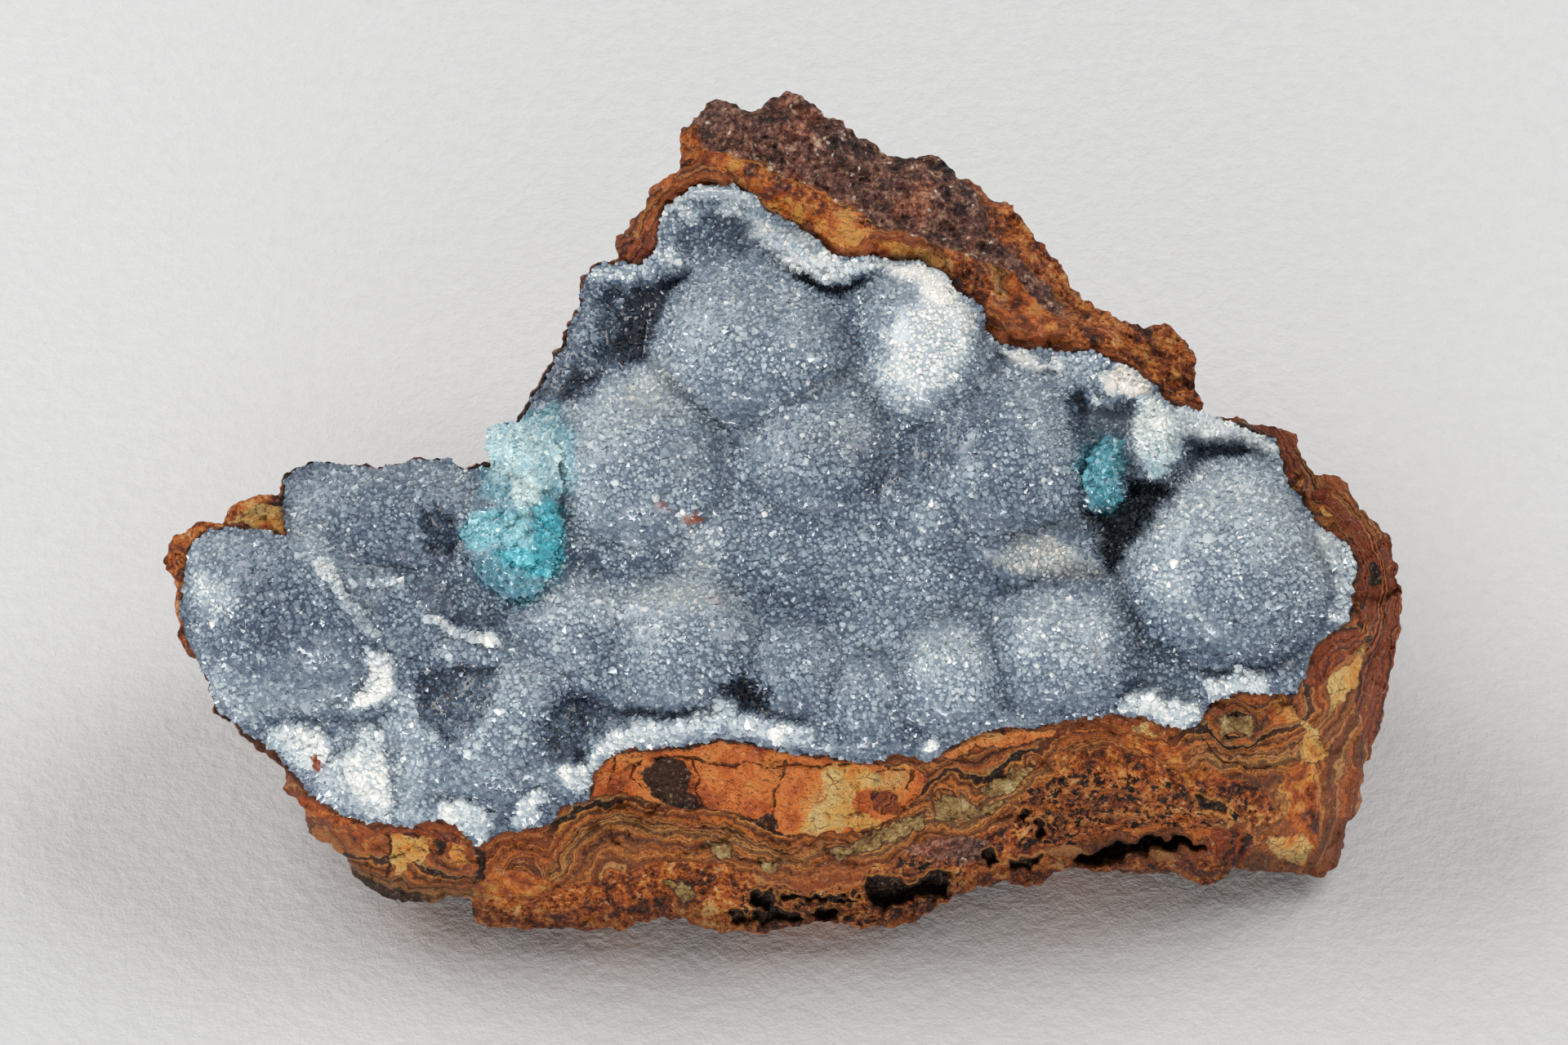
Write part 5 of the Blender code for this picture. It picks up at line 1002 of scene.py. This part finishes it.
class Rock(Nodes):
    """The limonite's material: the noises that its zones share, and the look of each zone."""

    def __init__(self):
        super().__init__("limonite", 0.6)
        self.vast = self.noise(0.011, 2)
        self.broad = self.noise(0.0042, 4, 0.6)
        self.middle = self.noise(0.0014, 4, 0.6)
        self.grain = self.noise(0.00075, 5, 0.8)
        self.fine = self.noise(0.00045, 4, 0.65)
        self.layer = self.plus(self.field("layer"), self.swung(broad=2.4, middle=1.5))
        self.thick = self.strata(self.layer, 0.75)
        self.hairlines = self.step(self.strata(self.layer, 2.9), 0.55, 0.63)
        self.mottle = self.plus(self.swung(middle=0.7, broad=0.5, grain=0.7, fine=0.3), 0.5)
        # Painted sparkle: tiny white glints scattered over the grainy zones
        self.painted_sparkle = self.times(self.step(self.cells(0.001), 0.26, 0.16), self.step(self.middle, 0.5, 0.56))

    def swung(self, **reaches):
        """The sum of the named noises, each swung about 0 by its reach."""
        return self.plus(*[self.centred(getattr(self, name), reach) for name, reach in reaches.items()])

    def banded(self):
        span = LAYER_COLOURS[-1][0]
        stops = [(number / span, shade) for number, shade in LAYER_COLOURS]
        look = self.ramp(self.times(self.layer, 1 / span), stops)
        look = self.cover(look, (84, 46, 28), self.step(self.thick, 0.57, 0.66), 0.6)
        look = self.cover(look, (246, 192, 124), self.step(self.thick, 0.43, 0.34), 0.6)
        look = self.cover(look, (50, 28, 18), self.hairlines, 0.65)
        return self.mix(self.step(self.vast, 0.46, 0.62), look, self.mix(0.55, look, (196, 98, 42)))

    def massive(self):
        look = self.ramp(self.plus(self.swung(broad=1.1, vast=0.5), 0.5), [
            (0.26, (160, 72, 36)), (0.38, (224, 114, 52)), (0.48, (252, 146, 72)), (0.6, (255, 168, 90)),
            (0.76, (255, 212, 142)),
        ])
        return self.cover(look, (110, 48, 24), self.step(self.cells(0.0006), 0.24, 0.12), 0.35)

    def tan(self):
        look = self.ramp(self.plus(self.swung(middle=0.7), self.broad), [
            (0.2, (216, 100, 34)), (0.32, (254, 158, 72)), (0.44, (255, 194, 102)), (0.68, (255, 228, 160)),
        ])
        veins = self.step(self.cells(0.0017, "DISTANCE_TO_EDGE"), 0.07, 0.01)
        look = self.cover(look, (170, 92, 40), veins, self.step(self.middle, 0.46, 0.66))
        return self.cover(look, (130, 70, 34), self.hairlines, 0.12)

    def gold(self):
        look = self.ramp(self.plus(self.swung(middle=0.8), self.broad), [
            (0.26, (94, 38, 13)), (0.4, (190, 88, 27)), (0.5, (234, 130, 44)), (0.62, (250, 180, 92)),
        ])
        return self.cover(look, (104, 50, 20), self.hairlines, 0.6)

    def khaki(self):
        look = self.ramp(self.plus(self.swung(middle=0.9, fine=0.4), 0.5), [
            (0.28, (110, 74, 38)), (0.42, (170, 134, 80)), (0.56, (204, 174, 116)), (0.7, (236, 220, 172)),
        ])
        return self.cover(look, (96, 62, 34), self.hairlines, 0.35)

    def glassy(self):
        return self.ramp(self.strata(self.layer, 1.1), [
            (0.36, (50, 16, 8)), (0.46, (126, 52, 22)), (0.55, (196, 94, 38)), (0.61, (92, 36, 16)),
            (0.7, (240, 134, 48)),
        ])

    def maroon(self):
        look = self.ramp(self.mottle, [
            (0.3, (18, 9, 8)), (0.4, (70, 38, 35)), (0.49, (122, 79, 71)), (0.58, (174, 128, 110)),
            (0.7, (246, 220, 200)),
        ])
        look = self.cover(look, (214, 112, 58), self.step(self.broad, 0.5, 0.62), 0.6, "MULTIPLY")
        # Painted sparkle over the maroon
        return self.mix(self.painted_sparkle, look, (255, 250, 246))

    def orange(self):
        look = self.ramp(self.mottle, [
            (0.32, (26, 13, 7)), (0.42, (108, 48, 17)), (0.5, (180, 89, 30)), (0.58, (236, 134, 46)),
            (0.7, (255, 210, 136)),
        ])
        look = self.cover(look, (170, 108, 84), self.step(self.vast, 0.62, 0.42), 0.12, "MULTIPLY")
        # Painted sparkle over the orange
        return self.cover(look, (255, 240, 214), self.painted_sparkle, 0.4)


def limonite_material():
    """Banded brown rock: its zones over the layers, then pores, cracks, black zones and cavities painted
    black as painted shade, painted highlights on cavity rims and on the fine grain, and a dark line along
    the crust's edge with painted shade along the lower edge.
    """
    n = Rock()
    wobble = n.swung(middle=0.9, fine=0.3)
    orange = n.orange()
    looks = {"orange": orange, "maroon": n.maroon(), "massive": n.massive(), "gold": n.gold(),
             "tan": n.tan(), "khaki": n.khaki(), "glassy": n.glassy()}
    base = n.banded()
    edges = 0.0
    for name, look in looks.items():
        zone = n.plus(n.field(name), wobble)
        base = n.mix(n.step(zone, 0.42, 0.58), base, look)
        if name in ("massive", "khaki"):
            edges = n.math("MAXIMUM", edges, n.times(n.step(zone, 0.3, 0.42), n.step(zone, 0.6, 0.48)))
    base = n.cover(base, (66, 34, 20), edges, 0.75)
    porous = n.step(n.plus(n.field("porous"), wobble), 0.4, 0.6)
    base = n.cover(base, orange, porous, 0.65)
    pits = n.times(n.step(n.noise(0.0009, 4, 0.7), 0.475, 0.43), porous)
    base = n.mix(pits, base, (20, 14, 12))
    cracks = n.step(n.plus(n.field("crack"), n.swung(middle=0.3)), 0.2, 0.07)
    base = n.cover(base, (60, 26, 15), cracks, 0.85)
    hollow = n.field("black")
    grainy = n.step(n.plus(n.field("orange"), n.field("porous")), 0.2, 0.6)
    # Painted highlight: golden lit rims round the black patches in the grainy zones
    painted_lit_lip = n.times(n.times(n.step(hollow, 0.02, 0.3), n.step(hollow, 0.55, 0.3)), grainy)
    base = n.cover(base, (255, 176, 88), painted_lit_lip, 0.6)
    black = n.ramp(n.fine, [(0.4, (14, 11, 11)), (0.55, (32, 26, 25)), (0.66, (84, 72, 64))])
    # Black zones, and the cavities painted black as painted shade
    base = n.cover(base, black, n.step(n.plus(hollow, n.swung(middle=1.1, grain=0.8)), 0.42, 0.62), 0.94)
    base = n.cover(base, (84, 46, 30), n.step(n.fine, 0.45, 0.34), 0.7, "MULTIPLY")
    # Painted highlights on the fine grain
    base = n.cover(base, (255, 226, 190), n.step(n.fine, 0.56, 0.7), 0.35)
    # A dark line along the crust's edge, and painted shade along the lower edge where the face turns under
    base = n.cover(base, (60, 32, 20), n.step(n.field("rim"), 0.75, 0.3), 0.5)
    base = n.mix(1.0, base, (255, 247, 232), "MULTIPLY")
    height = n.plus(n.times(n.thick, 0.8), n.times(n.fine, 0.8), n.times(n.grain, 0.6))
    height = n.math("SUBTRACT", height, n.plus(n.times(pits, 0.8), n.times(cracks, 0.5)))
    return n.finish(base, n.plus(n.times(n.fine, 0.45), 0.28), n.bump(height, 0.0015))


def quartz_material():
    """Grey-blue quartz whose shade, teal, warmth and rust come from the piece's own numbers; the shade
    holds painted shade and painted light as well as the crust's own tones.
    """
    n = Nodes("druzy_quartz", 0.38)
    base = n.ramp(n.field("shade"), [
        (0, (26, 34, 48)), (0.15, (60, 76, 98)), (0.32, (99, 114, 131)), (0.5, (143, 157, 168)),
        (0.7, (186, 196, 201)), (0.86, (224, 225, 222)), (1, (244, 241, 235)),
    ])
    base = n.cover(base, (214, 200, 184), n.field("warm"), 0.6, "MULTIPLY")
    teal = n.ramp(n.field("shade"), [
        (0.1, (16, 88, 100)), (0.35, (56, 168, 184)), (0.6, (132, 212, 222)), (0.9, (208, 238, 236)),
    ])
    base = n.mix(n.field("teal"), base, teal)
    base = n.mix(n.field("rust"), base, (140, 70, 34))
    n.shader.inputs["Coat Weight"].default_value = 0.7
    n.shader.inputs["Coat Roughness"].default_value = 0.14
    return n.finish(base)


LIMONITE = limonite_material()
QUARTZ = quartz_material()


# The limonite body


def limonite_fields(points):
    """The layer number and the share of each zone at points of the broken face."""
    seen = warped(points, 0.45)
    ragged = warped(points, 0.8)
    first, _ = cell_field(points, 5.5, 2.5)
    layer = layer_number(seen) + 1.2 * first ** 2
    centres = layer_number(np.array([(u, v) for u, v, _ in NODULES], float))
    for (u, v, radius), middle in zip(NODULES, centres):
        offset = np.hypot(seen[:, 0] - u, seen[:, 1] - v)
        layer = soft_max(layer, middle + 0.25 * radius - 1.1 * offset, 0.8)
    for u, v, radius in EYES:
        offset = np.hypot(seen[:, 0] - u, seen[:, 1] - v)
        share = np.clip(2 * (1.2 - offset / radius), 0, 1)
        layer = layer * (1 - share) + (12 - 2.4 * offset) * share
    fields = {name: most_share(ragged if name in RAGGED_ZONES else seen, outlines, 1.0)
              for name, outlines in ZONES.items()}
    # The cavities are painted black too, as painted shade in them
    painted_cave_shade = most_share(ragged, [outline for _, outline in CAVITIES], 0.5)
    fields["black"] = np.maximum(fields["black"], painted_cave_shade)
    fields["crack"] = np.minimum(np.min([distance_to_line(seen, line) for line in CRACKS], axis=0), 2)
    # Painted shade along the lower edge, where the face turns under; the crust's edge gets a dark line
    lowest = 0.15 + 0.15 * distance_to(points, OUTLINE) + 2 * (points[:, 1] > LOW_EDGE)
    fields["rim"] = np.minimum(np.minimum(distance_to(points, CRUST_EDGE), 2), lowest)
    fields["layer"] = layer
    return fields


def facets(points, size, seed, slope):
    """Flat broken faces, each tilted its own way."""
    centres = np.array([noise.voronoi((u / size, v / size, seed))[1][0][:2] for u, v in points]) * size
    turn = np.sin(centres @ (12.9, 78.2)) * 43.7
    tilt = np.column_stack((np.cos(turn * 6), np.sin(turn * 6))) * slope
    return ((points - centres) * tilt).sum(1)


def rock_relief(points, fields):
    """Small steps, grains and pits of the broken face."""
    layers = np.array([noise.noise((layer * 0.9, 0.5, 0.5)) for layer in fields["layer"]])
    smooth = np.maximum.reduce([fields[name] for name in ("massive", "tan", "gold", "khaki")])
    smooth = np.maximum(smooth, 0.6 * fields["glassy"])
    calm = 1 - 0.8 * smooth
    rough = np.maximum.reduce([fields[name] for name in ("maroon", "orange", "porous")])
    relief = 0.6 * layers * calm * (1 - 0.6 * rough) + 0.3 * rough_field(points, 2.4, 7.7) * calm
    relief += 0.35 * smooth * noise_field(points, 4, 3.4)
    relief += facets(points, 4.6, 1.7, 0.2) * (1 - 0.5 * rough) + facets(points, 1.9, 5.7, 0.22) * calm
    relief += (0.08 + 0.42 * rough) * rough_field(points, 1.1, 2.2) * calm
    first, second = cell_field(points, 1.3, 4.4)
    relief -= 1.3 * fields["porous"] * np.clip(0.5 - first, 0, 0.5) * 2
    relief += 0.3 * rough * (second - first)
    relief -= 0.4 * np.clip(1 - fields["crack"] / 0.4, 0, 1)
    relief -= 0.7 * fields["black"]
    return relief


def base_outline():
    """The edge of the flat base, in drawing coordinates."""
    corners = []
    for angle in 2 * math.pi * np.arange(BASE_STEPS) / BASE_STEPS:
        reach = 1 + BASE_LOBES * (math.sin(3 * angle + 0.6) + 0.6 * math.sin(5 * angle + 2))
        x = BASE_CENTRE[0] + BASE_RADII[0] * reach * math.cos(angle)
        y = BASE_CENTRE[1] + BASE_RADII[1] * reach * math.sin(angle)
        corners.append(camera_coordinates(x, y, -DROP))
    return np.array(corners)


def back_rings(outline):
    """Rings from the outline round the hidden side down to the edge of the flat base."""
    base = base_outline()
    middle = base[:, :2].mean(0)
    base_angle = np.unwrap(np.arctan2(*(base[:, :2] - middle).T[::-1]))
    angle = np.arctan2(*(outline[:, :2] - middle).T[::-1])
    angle = base_angle[0] + (angle - base_angle[0]) % (2 * math.pi)
    closed_angle = np.append(base_angle, base_angle[0] + 2 * math.pi)
    ends = np.column_stack([np.interp(angle, closed_angle, np.append(row, row[0])) for row in base.T])
    rings = []
    for degrees in BACK_SWINGS:
        swing = math.radians(degrees)
        flat = ends[:, :2] + (outline[:, :2] - ends[:, :2]) * math.cos(swing) ** 1.1
        depth = outline[:, 2] + (ends[:, 2] - outline[:, 2]) * math.sin(swing) ** 1.2
        bumps = 1.6 * noise_field(flat, 9, 4.5) + 0.8 * noise_field(flat, 4.5, 7.5)
        bumps += 0.7 * rough_field(flat, 2, 1) + facets(flat, 9, 3.3, 0.3) + facets(flat, 3.5, 6.3, 0.25)
        outwards = (flat - middle) / np.hypot(*(flat - middle).T)[:, None]
        finer = np.array([noise.fractal(spot / 3, 0.9, 2.1, 3) for spot in with_heights(flat, depth)])
        rough = 0.9 * deep_field(with_heights(flat, depth), 7) + 0.7 * finer
        flat = flat + outwards * (rough * math.sin(2 * swing) ** 0.5)[:, None]
        ring = with_heights(flat, depth + bumps * math.sin(2 * swing))
        rings.append(above_table(ring, EDGE_CLEARANCE * (1 - degrees / 90)))
    return rings


def build_limonite():
    """The whole brown body as one closed mesh."""
    outline = fine_loop(OUTLINE, spacing=0.4, roughness=1.2)
    edge = fine_loop(CRUST_EDGE, spacing=0.6, roughness=0.4)
    rim = grid_within(outline, spacing=0.27, margin=0.2)
    rim = rim[~inside(rim, edge) | (distance_to(rim, edge) < 1.2)]
    points = np.vstack((outline, rim, grid_within(edge, spacing=1.6, margin=1.6)))
    faces = [triangles_within(points, outline)]
    fields = limonite_fields(points)
    heights = break_surface(points) + rock_relief(points, fields)
    depth = np.clip(0.6 + 0.9 * distance_to(points, edge), 0, 4.5)
    heights = np.where(inside(points, edge), np.minimum(crust_surface(points) - depth, heights), heights)
    front = above_table(with_heights(points, heights), EDGE_CLEARANCE)
    count = len(outline)
    rings = back_rings(front[:count])
    before = np.arange(count)
    for number in range(len(rings)):
        after = len(points) + number * count + np.arange(count)
        nearer, further = np.roll(before, -1), np.roll(after, -1)
        faces += [np.column_stack((before, after, nearer)), np.column_stack((nearer, after, further))]
        before = after
    faces.append(np.column_stack((before[1:-1], np.full(count - 2, before[0]), before[2:])))
    behind = np.vstack(rings)
    hidden = {"layer": 14 + 0.3 * behind[:, 2], "crack": 2, "rim": 2, "orange": 0.7,
              "maroon": 0.5 + 0.9 * deep_field(behind, 11)}
    fields = {name: np.append(values, np.broadcast_to(hidden.get(name, 0), len(behind)))
              for name, values in fields.items()}
    placed = place(np.vstack((front, behind)))
    add_piece("limonite_body", placed, np.vstack(faces), LIMONITE, fields, "limonite_matrix")


# The quartz crust and the chrysocolla growths


def crust_lookups():
    """Lookups of how far the crust stands above its surroundings and of how much it faces up and left: from
    them shade is painted into its valleys and light onto its up-left slopes.
    """
    across = np.arange(-84, 84)
    upwards = np.arange(-60, 60)
    grid = np.array([(u, v) for v in upwards for u in across], float)
    heights = crust_surface(grid).reshape(len(upwards), len(across))

    def blurred(values, rounds):
        for _ in range(rounds):
            padded = np.pad(values, 1, mode="edge")
            values = (padded[:-2, 1:-1] + padded[2:, 1:-1] + padded[1:-1, :-2] + padded[1:-1, 2:]) / 4
        return values

    rising_up, rising_right = np.gradient(blurred(heights, 3))
    standing = heights - blurred(heights, 26)
    facing = np.clip(0.4 * rising_right - rising_up, -1.2, 1)

    def lookup(values, points):
        column = np.clip(points[:, 0] - across[0], 0, len(across) - 1.001)
        row = np.clip(points[:, 1] - upwards[0], 0, len(upwards) - 1.001)
        left, low = column.astype(int), row.astype(int)
        right_share, high_share = column - left, row - low
        bottom = values[low, left] * (1 - right_share) + values[low, left + 1] * right_share
        top = values[low + 1, left] * (1 - right_share) + values[low + 1, left + 1] * right_share
        return bottom * (1 - high_share) + top * high_share

    return lambda points: lookup(standing, points), lambda points: lookup(facing, points)


standing_out_for_painted_shade, facing_for_painted_light = crust_lookups()


def quartz_fields(points):
    """Shade, teal, warmth and rust of the quartz; the shade includes painted shade and painted light."""
    seen = warped(points, 0.8)
    # Painted shade and light: darker in the valleys between domes, paler on dome tops and on slopes that
    # face up and left towards the lamps
    shade = 0.42 + 0.04 * np.clip(standing_out_for_painted_shade(points), -3, 2) + 0.1 * facing_for_painted_light(points)
    shade += 0.04 * noise_field(points, 9, 21.5) + 0.03 * noise_field(points, 3, 23.5)
    for amount, softness, outline in SHADES + [part[2:] for part in RELIEF if part[2]]:
        shade += amount * spread_share(seen, outline, softness)
    fields = {"shade": shade}
    for name, parts in (("teal", TEAL), ("warm", WARMTHS), ("rust", RUST)):
        fields[name] = np.maximum.reduce([amount * spread_share(seen, outline, softness)
                                          for amount, softness, outline in parts])
    return fields


def normals_of(points, faces):
    """The normal at each point, as the mean over its triangles by their area."""
    one, two, three = (points[faces[:, i]] for i in range(3))
    across = np.cross(two - one, three - one)
    normals = np.zeros(points.shape)
    for corner in range(3):
        np.add.at(normals, faces[:, corner], across)
    return normals / np.maximum(np.linalg.norm(normals, axis=1), 1e-12)[:, None]


def crystals_on(points, normals, sizes, chance):
    """Six-sided pointed crystals standing on points, as vertices and faces."""
    count = len(points)
    axis = normals + chance.normal(0, 0.24, (count, 3))
    axis /= np.linalg.norm(axis, axis=1)[:, None]
    helper = np.where(np.abs(axis[:, 2:]) < 0.9, (0.0, 0.0, 1.0), (1.0, 0.0, 0.0))
    side = np.cross(axis, helper)
    side /= np.linalg.norm(side, axis=1)[:, None]
    other = np.cross(axis, side)
    start = chance.uniform(0, math.pi, count)
    radius = sizes * chance.uniform(0.5, 0.64, count)
    height = sizes * chance.uniform(0.3, 0.66, count)
    corners = []
    for step in range(6):
        angle = start + step * math.pi / 3
        reach = radius * chance.uniform(0.8, 1.2, count)
        ring = side * (np.cos(angle) * reach)[:, None] + other * (np.sin(angle) * reach)[:, None]
        corners.append(points + ring - axis * (0.16 * sizes)[:, None])
    tips = points + axis * height[:, None] + side * (radius * chance.uniform(-0.2, 0.2, count))[:, None]
    vertices = np.stack(corners + [tips], axis=1).reshape(-1, 3)
    first = np.arange(count)[:, None] * 7
    faces = np.concatenate([first + np.array([[step, (step + 1) % 6, 6]]) for step in range(6)])
    return vertices, faces


def build_crust():
    """The bed of the crust: its placed points, the same points in the drawing, and its triangles."""
    edge = fine_loop(CRUST_EDGE, spacing=0.6, roughness=0.8)
    points = np.vstack((edge, grid_within(edge, spacing=0.7, margin=0.4)))
    faces = triangles_within(points, edge)
    bed = with_heights(points, crust_surface(points) + 0.3 * noise_field(points, 1.6, 4.1))
    placed = place(np.vstack((bed, bed[:len(edge)] - (0, 0, SKIRT_DEPTH))))
    ring = np.arange(len(edge))
    below = len(points) + ring
    onwards = np.roll(ring, -1)
    skirt = [np.column_stack((ring, below, onwards)), np.column_stack((onwards, below, np.roll(below, -1)))]
    fields = quartz_fields(np.vstack((points, edge)))
    # Painted shade: the bed between the crystals is darker than they are
    fields["shade"] -= 0.2
    closed = np.vstack([faces] + skirt)
    add_piece("druse_bed", placed, closed, QUARTZ, fields, "quartz_crust")
    return placed[:len(points)], points, faces


def build_growth(name, outline, rise):
    """The body of a chrysocolla growth: its placed points, the same in the drawing, and its triangles."""
    edge = fine_loop(outline, spacing=0.5, roughness=1.2)
    inner = grid_within(edge, spacing=0.5, margin=0.3)
    points = np.vstack((edge, inner))
    front = triangles_within(points, edge)
    seat = np.maximum(crust_surface(points), wall_height(points)) + 1.2
    swell = np.sqrt(np.clip(distance_to(points, edge) / 4.5, 0, 1))
    lumps = 0.34 * noise_field(points, 3.2, 9.5) + 0.24 * noise_field(points, 1.4, 1)
    top = seat + rise * swell * (0.85 + lumps)
    top[:len(edge)] = seat[:len(edge)] + 0.2
    behind = with_heights(inner, seat[len(edge):] - 1.4)
    placed = place(np.vstack((with_heights(points, top), behind)))
    number = np.arange(len(points))
    number[len(edge):] += len(inner)
    faces = np.vstack((front, number[front][:, ::-1]))
    fields = quartz_fields(np.vstack((points, inner)))
    node = f"chrysocolla_growth_{name}"
    add_piece(f"chrysocolla_{name}", placed, faces, QUARTZ, fields, node)
    return placed[:len(points)], points, front


def scatter(placed, faces, chance):
    """Evenly scattered places on a surface, each as a triangle and its three shares of it."""
    one, two, three = (placed[faces[:, i]] for i in range(3))
    area = np.linalg.norm(np.cross(two - one, three - one), axis=1) / 2
    wanted = area / (0.866 * (CRYSTAL_SPACING * UNIT) ** 2)
    count = np.floor(wanted + chance.uniform(0, 1, len(wanted))).astype(int)
    owner = np.repeat(np.arange(len(faces)), count)
    first, second = chance.uniform(0, 1, (2, len(owner)))
    over = first + second > 1
    first[over], second[over] = 1 - first[over], 1 - second[over]
    return owner, (1 - first - second, first, second)


def grow_crystals(name, slot, placed, drawn, faces, chance):
    """Crystals over a surface, in pieces of a moderate size."""
    owner, shares = scatter(placed, faces, chance)

    def mixed(data):
        return sum(data[faces[owner, corner]] * share[:, None] for corner, share in enumerate(shares))

    roots, normals = mixed(placed), mixed(normals_of(placed, faces))
    seen = mixed(drawn)
    fields = quartz_fields(seen)
    on_lump = most_share(seen, [part[-1] for part in RELIEF if part[0] > 0], 0.5)
    sizes = CRYSTAL_SPACING * UNIT * 1.25 * np.exp(chance.normal(0, 0.22, len(owner))) * (1 + 0.3 * on_lump)
    large = chance.uniform(0, 1, len(owner)) < LARGE_SHARE
    sizes[large] *= 1.4 - 0.4 * on_lump[large]
    sizes *= 1 - 0.25 * np.clip(4 * (fields["shade"] - 0.7), 0, 1) * (1 - on_lump)
    spread = chance.normal(0, 0.075, len(owner))
    glint = chance.uniform(0, 1, len(owner))
    # The brightest few crystals are painted glints; a few others are duller
    spread += np.where(glint < PAINTED_GLINT_SHARE, 0.26, 0) + np.where(large, 0.12, 0)
    spread -= np.where(glint > 1 - DULL_SHARE, 0.14, 0)
    fields["shade"] += spread * (1 - 0.6 * np.clip(4 * (fields["shade"] - 0.65), 0, 1))
    for number, begin in enumerate(range(0, len(owner), CRYSTALS_A_PIECE)):
        part = slice(begin, begin + CRYSTALS_A_PIECE)
        vertices, crystal_faces = crystals_on(roots[part], normals[part], sizes[part], chance)
        shown = {field: np.repeat(values[part], 7) for field, values in fields.items()}
        add_piece(f"{name}_{number + 1}", vertices, crystal_faces, QUARTZ, shown)


chance = np.random.default_rng(11)
build_limonite()
grow_crystals("druse_crystals", "druzy_quartz", *build_crust(), chance)
for name, outline, rise in (("left", LEFT_GROWTH, LEFT_RISE), ("right", RIGHT_GROWTH, RIGHT_RISE)):
    surface = build_growth(name, outline, rise)
    grow_crystals(f"chrysocolla_crystals_{name}", "chrysocolla", *surface, chance)


# Floor, light and camera

paper = Nodes("paper", 0.9)
fibres = paper.noise(0.0018, 4, 0.7)
paper_shade = paper.ramp(fibres, [(0.3, (208, 208, 208)), (0.7, (213, 213, 213))])
corners = [(x * FLOOR_REACH, y * FLOOR_REACH, 0) for x, y in ((-1, -1), (1, -1), (1, 1), (-1, 1))]
floor_mesh = bpy.data.meshes.new("floor")
floor_mesh.from_pydata(corners, [], [(0, 1, 2, 3)])
floor_mesh.materials.append(paper.finish(paper_shade, normal=paper.bump(fibres, 0.0003)))
floor = bpy.data.objects.new("floor", floor_mesh)
bpy.context.scene.collection.objects.link(floor)


def add_light(name, position, size, power, tint=(1, 1, 1)):
    """A soft lamp that faces the specimen."""
    light = bpy.data.lights.new(name, "AREA")
    light.shape = "ELLIPSE"
    light.size, light.size_y = size
    light.energy = power
    light.color = tint
    lamp = bpy.data.objects.new(name, light)
    lamp.location = position
    lamp.rotation_euler = (LIGHT_TARGET - Vector(position)).to_track_quat("-Z", "Y").to_euler()
    bpy.context.scene.collection.objects.link(lamp)


add_light("left", (-0.62, 0.3, 0.68), (0.9, 0.5), 6.2, (0.98, 0.99, 1.0))
add_light("right", (0.58, 0.3, 0.68), (0.9, 0.5), 4.8, (0.98, 0.99, 1.0))
add_light("front", (-0.1, -0.85, 0.1), (0.7, 0.2), 6.2)

world = bpy.data.worlds.new("studio")
world.use_nodes = True
background = world.node_tree.nodes["Background"]
background.inputs["Color"].default_value = (1.0, 0.96, 0.92, 1)
background.inputs["Strength"].default_value = 0.31
bpy.context.scene.world = world
bpy.context.scene.view_settings.view_transform = "Standard"

camera_data = bpy.data.cameras.new("camera")
camera_data.sensor_width = SENSOR_WIDTH
camera_data.lens = SENSOR_WIDTH * DISTANCE / PICTURE_UNITS
camera = bpy.data.objects.new("camera", camera_data)
towards = Vector((0, -math.cos(VIEW_TILT), math.sin(VIEW_TILT)))
camera.location = DRAWING_CENTRE + towards * VIEW_DISTANCE
camera.rotation_euler = (-towards).to_track_quat("-Z", "Y").to_euler()
bpy.context.scene.collection.objects.link(camera)
bpy.context.scene.camera = camera
